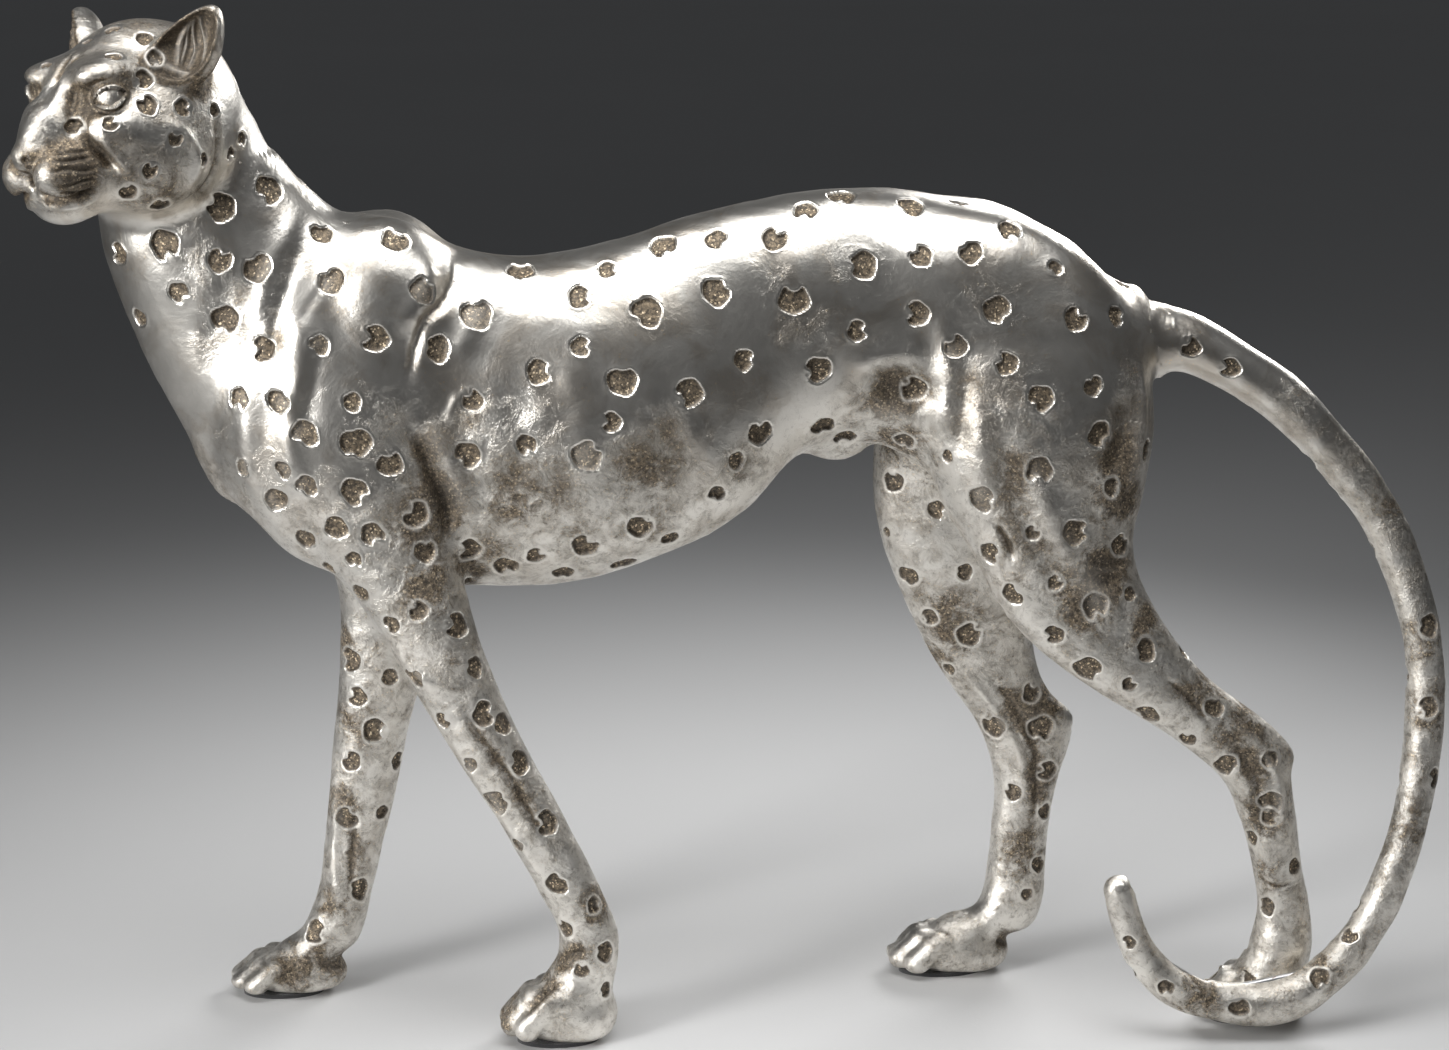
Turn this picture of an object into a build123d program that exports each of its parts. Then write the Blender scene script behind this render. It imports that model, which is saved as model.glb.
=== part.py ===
"""Walking leopard figure: cast resin shell, legs, head and tail pinned over steel armature rods.

The animal faces -X, its left flank faces -Y, and the floor is Z = 0. All sizes are in millimetres.
"""
from build123d import *
from math import cos, radians, sin, sqrt
import os

os.makedirs("parts", exist_ok=True)

# ---- driving dimensions ---------------------------------------------------------------------
MIDLINE = 7.5            # y of the animal's own mid plane; the tail's curl puts it off centre
SHELL = 6.0              # wall of the hollow torso
PAD_THICKNESS = 1.5      # paw pads
PAD_INSET = 1.5          # pads stop this far inside the edge of the sole
FORE_SEAM = 171.0        # level of the forelegs' joint faces, just below the chest
HIND_SEAM = 178.0        # level of the hind legs' joint faces
ROD_RADIUS = 2.5         # steel rods in the legs
ROD_BEND = 14.0          # bend radius of the rods
DOWEL_RADIUS = 2.5       # pins between neck and head
DOWEL_LENGTH = 30.0
DOWEL_SPREAD = 17.0      # each pin's distance from the neck's centre
WIRE_RADIUS = 1.5        # wire in the tail
TENON_RADIUS = 7.0       # the tail's root in its socket
TENON_LENGTH = 20.0
SOCKET_WALL = 5.0        # resin round the tail's socket
PLUG_RADIUS = 13.0       # filler in the torso's drain hole
PLUG_X = -50.0

# ---- torso: x, underside z, top z, half width ----------------------------------------------------
TORSO = [
    (-197, 214, 262, 16),
    (-187, 196, 290, 26),
    (-171, 182, 308, 34),
    (-151, 175, 313, 37.5),
    (-131, 172, 311, 38),
    (-111, 171.5, 302.5, 37.5),
    (-81, 172, 296, 37),
    (-51, 176.5, 301.5, 36.5),
    (-21, 190.5, 310.5, 36),
    (9, 213, 317, 35.5),
    (39, 219, 319.5, 36),
    (69, 206, 318, 37.5),
    (99, 196, 308, 37),
    (124, 200, 292.5, 33),
    (139, 206, 283, 26),
    (147, 217, 277, 18),
]

# ---- neck: x, z, slope of the section in degrees, half depth, half width --------------------------
NECK = [
    (-159, 255, 52, 60, 33),
    (-187, 288, 40, 45, 29),
    (-201, 314.5, 26, 38.5, 28),
]
NECK_STUB = 26.0         # the head casting's own length of neck, up into the skull
NECK_STUB_TAPER = 18.0   # degrees

# ---- head, turned about a pivot in the middle of the neck ------------------------------------------
HEAD_PIVOT_X = -202.0
HEAD_TURN = 42.0         # degrees, from straight ahead towards the left flank
CRANIUM_AHEAD = 20.0
CRANIUM_HEIGHT = 351.0
CRANIUM_RADII = (31.5, 36.5, 36.0)
# muzzle: distance ahead of the pivot, centre z, half height, half width
MUZZLE = [
    (30, 343, 27, 20),
    (54, 340, 27, 19),
    (67, 338, 23, 16),
    (73, 337, 16, 11.5),
    (75.5, 337, 10, 6),
]
EAR_AHEAD = 9.0          # the ears' distance ahead of the pivot
EAR_OUT = 26.0           # each ear's centre from the middle of the skull
EAR_HEIGHT = 376.0       # z of the ear's centre
EAR_RADII = (10.0, 16.5)
EAR_THICKNESS = 9.0
EAR_LEAN = 20.0          # degrees outwards
EAR_RIM = 3.0            # rim round the hollow
EAR_CUP = 3.0            # depth of the hollow

# ---- legs: level z, distance of the centre from the mid plane, half width -------------------------
FORE_SIDE = [
    (PAD_THICKNESS, 29, 10.5),
    (6, 29, 13),
    (12, 29, 13.5),
    (20, 29, 12),
    (30, 29, 10.5),
    (42, 29, 9.5),
    (60, 29, 9.5),
    (80, 28.5, 10),
    (110, 28, 11.5),
    (140, 26.5, 13),
    (165, 24.5, 14.5),
    (190, 22, 16),
    (215, 20, 17),
    (240, 18, 16),
]
HIND_SIDE = [
    (PAD_THICKNESS, 29, 10.5),
    (6, 29, 13),
    (12, 29, 13.5),
    (20, 29, 11.5),
    (30, 29, 10),
    (42, 28.5, 9),
    (60, 28.5, 8.5),
    (80, 28.5, 9),
    (98, 28, 9.5),
    (115, 27, 10.5),
    (135, 26, 12.5),
    (160, 24, 14.5),
    (185, 22, 16.5),
    (210, 20.5, 18),
    (235, 19, 18.5),
    (260, 17, 16),
]
# front and rear x of each leg at those levels
LEFT_FORE_X = [
    (-93, -59), (-98, -56), (-98.5, -55.5), (-92, -55), (-76.5, -53.5), (-75, -52.5), (-82, -59.5),
    (-93, -68.5), (-110.5, -84), (-128, -97), (-142, -105), (-158, -111), (-169, -115), (-176, -122),
]
RIGHT_FORE_X = [
    (-199, -164.5), (-203, -161), (-198, -157), (-180, -152), (-171.5, -149), (-167, -146.5),
    (-164.5, -142), (-161.5, -136.5), (-158.5, -129.5), (-155.5, -122), (-156, -116), (-164, -111),
    (-172, -113), (-178, -120),
]
LEFT_HIND_X = [
    (173, 203), (169, 209), (169, 210), (177, 208), (190.5, 214), (193, 213), (190, 209.5),
    (185, 206), (175.5, 203), (154.5, 197), (123, 171), (95, 151.5), (81, 141), (72, 143.5),
    (66, 142), (64, 136),
]
RIGHT_HIND_X = [
    (61, 97.5), (58, 102.5), (59.5, 106), (75, 110.5), (95, 120), (97.5, 120.5), (99, 121),
    (99, 125), (94.5, 129), (84.5, 121), (71.5, 113), (60, 115), (51, 122), (49, 132),
    (50, 139), (54, 136),
]
# levels that each rod passes through, from the paw up into the body
FORE_ROD_LEVELS = (20, 42, 110, 215)
HIND_ROD_LEVELS = (30, 80, 135, 210)

# ---- tail: x, distance from the mid plane towards the left, z, radius -----------------------------
TAIL = [
    (147, 0, 261.5, 14.5),
    (163.5, 1, 259.5, 11.5),
    (180.5, 3, 251, 10),
    (199.5, 5, 238.5, 9.3),
    (218.5, 8, 219.5, 8.7),
    (235.5, 12, 197.5, 8),
    (247.5, 16, 172.5, 7.5),
    (254.5, 21, 146, 7.2),
    (255, 26, 118.5, 7.1),
    (251.5, 32, 91, 7),
    (244, 38, 66, 7),
    (232, 43, 43, 6.9),
    (215.5, 47, 25.5, 6.9),
    (193.5, 49, 16.5, 6.9),
    (172, 49, 18, 6.8),
    (157, 49, 24, 6.6),
    (146.5, 48, 34.5, 6.4),
    (139, 47.5, 47.5, 6.2),
    (134.5, 47, 60, 5.8),
]
TIP_STEPS = (0.5, 0.8, 0.95)   # the round tip's sections, as parts of its radius


# ---- helpers --------------------------------------------------------------------------------
def leg_stations(side_profile, ends, side):
    """Join the levels of a leg with its front and rear; side is -1 for left and 1 for right."""
    stations = []
    for (level, out, half_width), (front, rear) in zip(side_profile, ends):
        stations.append((level, front, rear, MIDLINE + side * out, half_width))
    return stations


def limb(stations):
    """Loft a leg through level ovals, from the sole up into the body."""
    with BuildPart() as shape:
        for level, front, rear, y, half_width in stations:
            with BuildSketch(Plane.XY.offset(level)):
                with Locations(((front + rear) / 2, y)):
                    Ellipse((rear - front) / 2, half_width)
        loft()
    return shape.part


def leg_rod(stations, levels):
    """A steel rod bent to the leg's own line."""
    points = []
    for level, front, rear, y, half_width in stations:
        if level in levels:
            points.append(((front + rear) / 2, y, level))
    with BuildPart() as rod:
        with BuildLine() as line:
            FilletPolyline(*points, radius=ROD_BEND)
        with BuildSketch(Plane(origin=line.line @ 0, z_dir=line.line % 0)):
            Circle(ROD_RADIUS)
        sweep(path=line.line)
    return rod.part


def barrel(inset=0.0):
    """The trunk of the body, or with an inset the space inside its wall."""
    first_x = TORSO[0][0]
    last_x = TORSO[-1][0]
    with BuildPart() as trunk:
        for x, low, high, half_width in TORSO:
            if inset and x in (first_x, last_x):
                continue
            with BuildSketch(Plane.YZ.offset(x)):
                with Locations((MIDLINE, (low + high) / 2)):
                    Ellipse(half_width - inset, (high - low) / 2 - inset)
        loft()
    return trunk.part


def neck():
    """The neck, from inside the chest to inside the skull."""
    with BuildPart() as column:
        for x, z, slope, half_depth, half_width in NECK:
            with BuildSketch(tilted_plane(x, z, slope)):
                Ellipse(half_depth, half_width)
        loft()
    return column.part


def tilted_plane(x, z, slope):
    """A plane across the neck, whose own x runs back and up at the slope."""
    angle = radians(slope)
    return Plane(
        origin=(x, MIDLINE, z),
        x_dir=(cos(angle), 0, sin(angle)),
        z_dir=(-sin(angle), 0, cos(angle)),
    )


def head_plane(ahead, height):
    """A plane across the head, whose own x points to the animal's left and y points up."""
    turn = radians(HEAD_TURN)
    forward = (-cos(turn), -sin(turn), 0)
    x = HEAD_PIVOT_X + ahead * forward[0]
    y = MIDLINE + ahead * forward[1]
    return Plane(origin=(x, y, height), x_dir=(sin(turn), -cos(turn), 0), z_dir=forward)


def tail_plane(index):
    """The plane across the tail at one of its stations."""
    before = TAIL[max(index - 1, 0)]
    after = TAIL[min(index + 1, len(TAIL) - 1)]
    direction = (after[0] - before[0], before[1] - after[1], after[2] - before[2])
    x, out, z, radius = TAIL[index]
    return Plane(origin=(x, MIDLINE - out, z), z_dir=direction)


# ---- the four legs ----------------------------------------------------------------------------
left_fore_stations = leg_stations(FORE_SIDE, LEFT_FORE_X, -1)
right_fore_stations = leg_stations(FORE_SIDE, RIGHT_FORE_X, 1)
left_hind_stations = leg_stations(HIND_SIDE, LEFT_HIND_X, -1)
right_hind_stations = leg_stations(HIND_SIDE, RIGHT_HIND_X, 1)

LEGS = [
    ("left_foreleg", left_fore_stations, FORE_SEAM, FORE_ROD_LEVELS),
    ("right_foreleg", right_fore_stations, FORE_SEAM, FORE_ROD_LEVELS),
    ("left_hind_leg", left_hind_stations, HIND_SEAM, HIND_ROD_LEVELS),
    ("right_hind_leg", right_hind_stations, HIND_SEAM, HIND_ROD_LEVELS),
]
rods = []
limb_roots = []
leg_parts = {}
for name, stations, seam, rod_levels in LEGS:
    whole_limb = limb(stations)
    rod_part = leg_rod(stations, rod_levels)
    rods.append(rod_part)

    with BuildPart() as limb_root:
        add(whole_limb)
        split(bisect_by=Plane.XY.offset(seam), keep=Keep.TOP)
    limb_roots.append(limb_root.part)

    with BuildPart() as leg:
        add(whole_limb)
        split(bisect_by=Plane.XY.offset(seam), keep=Keep.BOTTOM)
        add(rod_part, mode=Mode.SUBTRACT)
    leg.part.label = name
    export_step(leg.part, f"parts/{name}.step")
    leg_parts[name] = leg.part

    with BuildPart() as rod:
        add(rod_part)
    rod.part.label = name + "_rod"
    export_step(rod.part, f"parts/{name}_rod.step")

    sole, front, rear, y, half_width = stations[0]
    with BuildPart() as paw_pad:
        with BuildSketch(Plane.XY):
            with Locations(((front + rear) / 2, y)):
                Ellipse((rear - front) / 2 - PAD_INSET, half_width - PAD_INSET)
        extrude(amount=PAD_THICKNESS)
    paw_pad.part.label = name + "_pad"
    export_step(paw_pad.part, f"parts/{name}_pad.step")

# ---- pins between neck and head -----------------------------------------------------------------
seam_x, seam_z, seam_slope, seam_half_depth, seam_half_width = NECK[-1]
neck_seam = tilted_plane(seam_x, seam_z, seam_slope)
with BuildPart() as neck_dowels:
    with BuildSketch(neck_seam):
        with Locations((-DOWEL_SPREAD, 0), (DOWEL_SPREAD, 0)):
            Circle(DOWEL_RADIUS)
    extrude(amount=DOWEL_LENGTH / 2, both=True)
neck_dowels.part.label = "neck_dowels"
export_step(neck_dowels.part, "parts/neck_dowels.step")

# ---- tail -------------------------------------------------------------------------------------
tail_root = tail_plane(0)
with BuildPart() as tail_wire:
    with BuildLine() as wire_line:
        start = tail_root.origin - tail_root.z_dir * TENON_LENGTH
        wire_points = [start]
        for index in range(2, len(TAIL), 2):
            wire_points.append(tail_plane(index).origin)
        FilletPolyline(*wire_points, radius=30)
    with BuildSketch(Plane(origin=wire_line.line @ 0, z_dir=wire_line.line % 0)):
        Circle(WIRE_RADIUS)
    sweep(path=wire_line.line)
tail_wire.part.label = "tail_wire"
export_step(tail_wire.part, "parts/tail_wire.step")

with BuildPart() as tail_casting:
    for index, station in enumerate(TAIL):
        with BuildSketch(tail_plane(index)):
            Circle(station[3])
    tip_radius = TAIL[-1][3]
    for reach in TIP_STEPS:
        with BuildSketch(tail_plane(len(TAIL) - 1).offset(reach * tip_radius)):
            Circle(tip_radius * sqrt(1 - reach**2))
    loft()
    with BuildSketch(tail_root):
        Circle(TENON_RADIUS)
    extrude(amount=-TENON_LENGTH)
    add(leg_parts["left_hind_leg"], mode=Mode.SUBTRACT)
    add(tail_wire.part, mode=Mode.SUBTRACT)
tail_casting.part.label = "tail_casting"
export_step(tail_casting.part, "parts/tail_casting.step")

# ---- torso ------------------------------------------------------------------------------------
with BuildPart() as trunk_shell:
    add(barrel())
    add(barrel(SHELL), mode=Mode.SUBTRACT)

with BuildPart() as belly_plug:
    add(trunk_shell.part)
    with BuildSketch(Plane.XY.offset(160)):
        with Locations((PLUG_X, MIDLINE)):
            Circle(PLUG_RADIUS)
    extrude(amount=60, mode=Mode.INTERSECT)
belly_plug.part.label = "belly_plug"
export_step(belly_plug.part, "parts/belly_plug.step")

with BuildPart() as torso_casting:
    add(trunk_shell.part)
    add(neck())
    for limb_root_part in limb_roots:
        add(limb_root_part)
    with BuildSketch(tail_root):
        Circle(TENON_RADIUS + SOCKET_WALL)
    extrude(amount=-TENON_LENGTH - SOCKET_WALL)
    with BuildSketch(tail_root):
        Circle(TENON_RADIUS)
    extrude(amount=-TENON_LENGTH, mode=Mode.SUBTRACT)
    add(belly_plug.part, mode=Mode.SUBTRACT)
    add(neck_dowels.part, mode=Mode.SUBTRACT)
    for rod_part in rods:
        add(rod_part, mode=Mode.SUBTRACT)
    add(tail_casting.part, mode=Mode.SUBTRACT)
    add(tail_wire.part, mode=Mode.SUBTRACT)
torso_casting.part.label = "torso_casting"
export_step(torso_casting.part, "parts/torso_casting.step")

# ---- head -------------------------------------------------------------------------------------
with BuildPart() as cranium:
    Sphere(1)
    scale(by=CRANIUM_RADII)

with BuildPart() as head_casting:
    with Locations(head_plane(CRANIUM_AHEAD, CRANIUM_HEIGHT)):
        add(cranium.part)
    with BuildSketch(neck_seam):
        Ellipse(seam_half_depth, seam_half_width)
    extrude(amount=NECK_STUB, taper=NECK_STUB_TAPER)
    for ahead, height, half_height, half_width in MUZZLE:
        with BuildSketch(head_plane(ahead, height)):
            Ellipse(half_width, half_height)
    loft()
    for side in (-1, 1):
        ear_plane = head_plane(EAR_AHEAD, EAR_HEIGHT)
        with BuildSketch(ear_plane):
            with Locations((side * EAR_OUT, 0)):
                Ellipse(*EAR_RADII, rotation=-side * EAR_LEAN)
        extrude(amount=EAR_THICKNESS / 2, both=True)
        with BuildSketch(ear_plane.offset(EAR_THICKNESS / 2)):
            with Locations((side * EAR_OUT, 0)):
                Ellipse(EAR_RADII[0] - EAR_RIM, EAR_RADII[1] - EAR_RIM, rotation=-side * EAR_LEAN)
        extrude(amount=-EAR_CUP, mode=Mode.SUBTRACT)
    add(neck_dowels.part, mode=Mode.SUBTRACT)
head_casting.part.label = "head_casting"
export_step(head_casting.part, "parts/head_casting.step")
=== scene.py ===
"""Silvered leopard: the sculpted skin of each casting, its worn silver finish, and the studio.

The skin is modelled as one distance field in millimetres, in the animal's own frame: x runs back to
the tail, y = 0 is the mid plane with the left flank at negative y, and the floor is z = 0.
"""
from math import cos, radians, sin

import bmesh
import bpy
import numpy as np
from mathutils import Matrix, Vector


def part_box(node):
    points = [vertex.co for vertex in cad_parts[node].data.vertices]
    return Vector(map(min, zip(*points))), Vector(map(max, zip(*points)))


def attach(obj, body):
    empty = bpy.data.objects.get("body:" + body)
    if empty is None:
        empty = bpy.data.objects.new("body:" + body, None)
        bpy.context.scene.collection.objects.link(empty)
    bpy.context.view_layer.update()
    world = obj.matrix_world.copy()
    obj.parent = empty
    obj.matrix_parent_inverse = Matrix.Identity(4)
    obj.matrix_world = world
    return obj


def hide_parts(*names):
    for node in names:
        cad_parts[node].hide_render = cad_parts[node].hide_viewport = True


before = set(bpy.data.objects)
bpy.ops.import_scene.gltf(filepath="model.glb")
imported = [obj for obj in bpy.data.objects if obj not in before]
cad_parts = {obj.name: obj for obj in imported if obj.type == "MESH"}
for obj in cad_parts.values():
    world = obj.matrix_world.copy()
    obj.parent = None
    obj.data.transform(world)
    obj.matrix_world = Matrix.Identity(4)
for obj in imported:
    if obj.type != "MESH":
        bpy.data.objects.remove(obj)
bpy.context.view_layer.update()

import openvdb
from mathutils import Matrix, Vector

MM = 0.001
FAR = 1000.0             # a distance beyond any on the figure
CHUNK = 20000            # points worked on at a time, to save memory


def node_box(name):
    """The lowest and highest corners of a CAD node, in millimetres."""
    low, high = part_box(name)
    return np.array(low) / MM, np.array(high) / MM


# ---- places taken from the frame ----
TORSO_LOW, TORSO_HIGH = node_box("torso_casting")
MIDLINE = (TORSO_LOW[1] + TORSO_HIGH[1]) / 2
SOLE = node_box("left_foreleg_pad")[1][2]
FORE_SEAM = node_box("left_foreleg")[1][2]
HIND_SEAM = node_box("left_hind_leg")[1][2]

# ---- camera ----
AIM = np.array((-11.0, -10.0, 195.0))
CAMERA_AZIMUTH = -5.0
CAMERA_ELEVATION = 14.0
CAMERA_DISTANCE = 1218.0
CAMERA_VIEW = 25.0       # degrees across
azimuth = radians(CAMERA_AZIMUTH)
elevation = radians(CAMERA_ELEVATION)
CAMERA_PLACE = AIM + CAMERA_DISTANCE * np.array(
    (sin(azimuth) * cos(elevation), -cos(azimuth) * cos(elevation), sin(elevation))
)

# ---- sizes of the mesh ----
COARSE = 1.0
BODY_VOXEL = 2.6 * COARSE
HEAD_VOXEL = 1.2 * COARSE
LEG_VOXEL = 1.5 * COARSE
BODY_FINE = 1.15 * COARSE   # longest edges at the rim of a spot
HEAD_FINE = 0.55 * COARSE
LEG_FINE = 0.8 * COARSE
BLOCK = 8                # voxels along a block of the sparse grid
CLIP = 20.0              # largest distance kept in the grid
SLOPE_STEP = 0.05
LEAST_SLOPE = 0.05       # squared; a flatter place is settled as if it were this steep
LONGEST_MOVE = 1.5       # of a point in one round of settling
NEAR_SPANS = 1.5         # a block is worked out in full when it is this near, in blocks,
NEAR_MARGIN = 2          # and this much more in millimetres
PLAIN_EDGE = 3.0         # longest edges away from any mark, in voxels

# ---- body: x, underside z, top z, half width ----
TORSO = [
    (-200, 228, 250, 8),
    (-194, 216, 262, 18),
    (-184, 200, 290, 25),
    (-171, 186, 306, 29),
    (-151, 177, 309, 31),
    (-131, 173, 307, 31.5),
    (-111, 172.5, 300, 31.5),
    (-81, 172, 295.5, 33.5),
    (-51, 176.5, 301, 34),
    (-21, 192.5, 310, 32.5),
    (9, 216, 316.5, 30),
    (39, 226, 319.0, 28),
    (69, 212, 316, 28.5),
    (99, 200, 305.5, 29),
    (124, 206, 290.5, 26),
    (139, 216, 281.5, 20),
    (147, 230, 277, 11),
    (150, 245, 268, 4),
]
# neck: x, z, half depth, half width, along its own middle line
NECK = [
    (-138, 226, 48, 26),
    (-150, 243, 60, 30),
    (-159, 255, 59, 30.5),
    (-187, 288, 45, 28),
    (-201, 314.5, 38.5, 26.5),
    (-205, 332, 33, 25),
    (-205, 346, 26, 21),
    (-205, 358, 17, 16),
]
NECK_SEAM = (-201.0, 314.5, 26.0)   # x, z, and the seam's slope in degrees

# muscle masses of each side: centre, radii
MASSES = [
    ((-151, 17, 236), (41, 20.5, 52)),      # shoulder and upper arm
    ((-134, 13, 283), (23, 20, 28)),        # shoulder blade
    ((-166, 12, 262), (24, 17, 34)),        # front of the shoulder
    ((-52, 12, 238), (66, 24.5, 53)),       # ribs
    ((104, 15.5, 240), (41, 21.5, 62)),     # haunch
    ((80, 12, 286), (34, 18, 26)),          # hip
    ((128, 12, 232), (20, 18, 40)),         # back of the thigh
    ((32, 1, 223.5), (10, 5, 6.5)),             # sheath under the belly
]

# ---- limbs: z, distance of the centre from the mid plane, half width ----
FORE_SIDE = [
    (16, 29, 9.5), (30, 29, 10.5), (42, 29, 9.8), (60, 29, 9.5), (80, 28.5, 10), (110, 28, 11.5),
    (140, 26.5, 13), (165, 24.5, 14.5), (190, 22, 16), (215, 20, 17), (240, 18, 16),
]
HIND_SIDE = [
    (16, 29, 9.5), (30, 29, 10), (42, 28.5, 9), (60, 28.5, 8.5), (80, 28.5, 9), (98, 28, 9.8),
    (106, 27.5, 10.2), (115, 27, 10.5), (135, 26, 12.5), (160, 24, 14.5), (185, 22, 16.5), (210, 20.5, 18),
    (235, 19, 18.5), (260, 17, 16),
]
# front and rear x at those levels
LIMBS = {
    "left_foreleg": (-1, FORE_SIDE, [
        (-80, -57), (-76.5, -53.5), (-75, -52.5), (-82, -59.5), (-93, -68.5), (-110.5, -84),
        (-128, -97), (-142, -105), (-158, -111), (-169, -115), (-176, -122),
    ]),
    "right_foreleg": (1, FORE_SIDE, [
        (-180, -154), (-171.5, -149), (-167, -146.5), (-164.5, -142), (-161.5, -136.5),
        (-158.5, -129.5), (-155.5, -122), (-156, -116), (-164, -111), (-172, -113), (-178, -120),
    ]),
    "left_hind_leg": (-1, HIND_SIDE, [
        (188, 211), (190.5, 214), (193, 213), (190, 209.5), (185, 206), (175.5, 203.5),
        (166, 204.5), (154.5, 197), (123, 171), (95, 151.5), (81, 141), (72, 143.5), (66, 142), (64, 136),
    ]),
    "right_hind_leg": (1, HIND_SIDE, [
        (86, 116), (95, 120), (97.5, 120.5), (99, 121), (99, 125), (94.5, 130),
        (90.5, 129.5), (84.5, 121), (71.5, 113), (60, 115), (51, 122), (49, 132), (50, 139), (54, 136),
    ]),
}
# paws: toe end x, heel x, distance from the mid plane, how high it stands
PAWS = {
    "left_foreleg": (-99, -55, 29, 1.0),
    "right_foreleg": (-203.5, -158, 29, 0.72),
    "left_hind_leg": (168, 212, 29, 0.85),
    "right_hind_leg": (57, 105, 29, 0.8),
}
TOES = [(-9.6, 5.0), (-3.6, 0.0), (3.6, 0.0), (9.6, 5.0)]   # across the paw, how far each sits back

# ---- tail: x, distance to the left of the mid plane, z, radius ----
TAIL = [
    (136, 0, 262, 17), (147, 0, 261.5, 14.3), (163.5, 1, 259.5, 11.5), (180.5, 3, 251, 10),
    (199.5, 5, 238.5, 9.3), (218.5, 8, 219.5, 8.7), (235.5, 12, 197.5, 8), (247.5, 16, 172.5, 7.5),
    (254.5, 21, 146, 7.2), (255, 26, 118.5, 7.1), (251.5, 32, 91, 7), (244, 38, 66, 7),
    (232, 43, 41, 7.1), (215.5, 47, 23, 7.6), (197, 49, 14, 8.6), (190, 49, 13, 8.6),
    (172, 49, 15, 7.4), (156, 49, 21, 6.8), (145, 48, 32, 6.5), (138, 47.5, 45.5, 6.2),
    (134, 47, 60, 5.6),
]
TAIL_SEAM_X = 147.0

# ---- head: ahead of the pivot, to each side, height ----
HEAD_PIVOT = (-202.0, 0.0)
HEAD_TURN = 45.0
HEAD_TILT = 4.0          # the left side of the head a little higher
TILT_HEIGHT = 350.0
HEAD_MASSES = [
    ((21, 0, 349.5), (35, 31, 35)),         # skull
    ((41, 0, 356), (22, 21.5, 20)),         # forehead
    ((29, 17, 341), (22, 15, 21)),          # cheek
    ((48, 15, 348), (15, 11, 10)),          # cheekbone
    ((39, 9, 333), (24, 15, 14)),           # jaw
]
MUZZLE_MASSES = [
    ((55, 0, 350), (20, 12.5, 11.5)),       # bridge of the nose
    ((66, 0, 344.5), (12, 8.5, 8)),         # end of the bridge
    ((63.5, 8.5, 334.5), (15, 10, 11)),     # whisker pad
    ((55, 0, 330), (18, 15, 12)),           # under the muzzle
]
EYE = (51.4, 17.6, 359.6)
EYE_RADIUS = 5.7
EYE_TURN = 52.0          # degrees that the eye looks outwards
EYE_SLANT = 14.0         # degrees that its outer corner is raised
EYE_HALF = (5.6, 2.9)    # half width and half height of the opening
LID = 0.9                # how far the lids stand off the eyeball
EAR_TURN = 30.0          # degrees that an ear opens outwards
EAR_CENTRE = (25.5, 29.5, 374.5)
EAR_FOOT = 355.0         # the ears are above this height


# ---- field helpers ----
def dense(stations, step):
    """Many smooth rows through a few stations, evenly spaced along the first column."""
    rows = np.array(stations, float)
    place = rows[:, 0]
    slopes = np.gradient(rows, place, axis=0)
    wanted = np.arange(place[0], place[-1] + step / 2, step)
    wanted = np.minimum(wanted, place[-1])
    index = np.clip(np.searchsorted(place, wanted, side="right") - 1, 0, len(place) - 2)
    span = (place[index + 1] - place[index])[:, None]
    t = (wanted[:, None] - place[index][:, None]) / span
    first, last = rows[index], rows[index + 1]
    first_slope, last_slope = slopes[index] * span, slopes[index + 1] * span
    return (
        first * (2 * t**3 - 3 * t**2 + 1)
        + first_slope * (t**3 - 2 * t**2 + t)
        + last * (3 * t**2 - 2 * t**3)
        + last_slope * (t**3 - t**2)
    )


def dense_path(stations, step):
    """The same for a path, spaced by its own length."""
    rows = np.array(stations, float)
    gaps = np.linalg.norm(np.diff(rows[:, :3], axis=0), axis=1)
    along = np.concatenate([[0.0], np.cumsum(gaps)])
    return dense(np.column_stack([along, rows]), step)[:, 1:]


def join(a, b, softness):
    """Union of two distances with a fillet."""
    share = np.clip(0.5 + 0.5 * (b - a) / softness, 0, 1)
    return b + (a - b) * share - softness * share * (1 - share)


def carve(a, b, softness):
    """Distance a with shape b taken away."""
    return -join(-a, b, softness)


def ellipsoid(p, centre, radii):
    """Distance to an ellipsoid, near enough to exact at its surface."""
    scaled = (p - centre) / radii
    size = np.sqrt((scaled**2).sum(1)) + 1e-9
    steep = np.sqrt(((scaled / radii) ** 2).sum(1)) + 1e-9
    return size * (size - 1) / steep


def oval(u, v, half_u, half_v, power=2.0):
    """Distance in a section to a rounded oval."""
    ratio = (np.abs(u / half_u) ** power + np.abs(v / half_v) ** power) ** (1 / power) + 1e-9
    return np.hypot(u, v) * (1 - 1 / ratio) - np.minimum(half_u, half_v) * (ratio < 1e-3)


def capsule(p, start, end, start_radius, end_radius):
    """Distance to a rod with round ends."""
    start = np.array(start, float)
    along = np.array(end, float) - start
    t = np.clip((p - start) @ along / (along @ along), 0, 1)
    gap = p - start - t[:, None] * along
    return np.linalg.norm(gap, axis=1) - (start_radius + t * (end_radius - start_radius))


def tube(p, rows, across=None):
    """Distance to a swept round tube; rows hold x, y, z, radius."""
    nodes = rows[:, :3]
    nearest = np.empty(len(p), int)
    for begin in range(0, len(p), CHUNK):
        part = p[begin:begin + CHUNK]
        gaps = (nodes**2).sum(1)[None, :] - 2 * part @ nodes.T
        nearest[begin:begin + CHUNK] = gaps.argmin(1)
    best = np.full(len(p), FAR)
    for shift in (0, -1):
        index = np.clip(nearest + shift, 0, len(nodes) - 2)
        start = nodes[index]
        along = nodes[index + 1] - start
        t = np.clip(((p - start) * along).sum(1) / (along**2).sum(1), 0, 1)
        gap = np.linalg.norm(p - start - t[:, None] * along, axis=1)
        radius = rows[index, 3] + t * (rows[index + 1, 3] - rows[index, 3])
        best = np.minimum(best, gap - radius)
    return best


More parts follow.
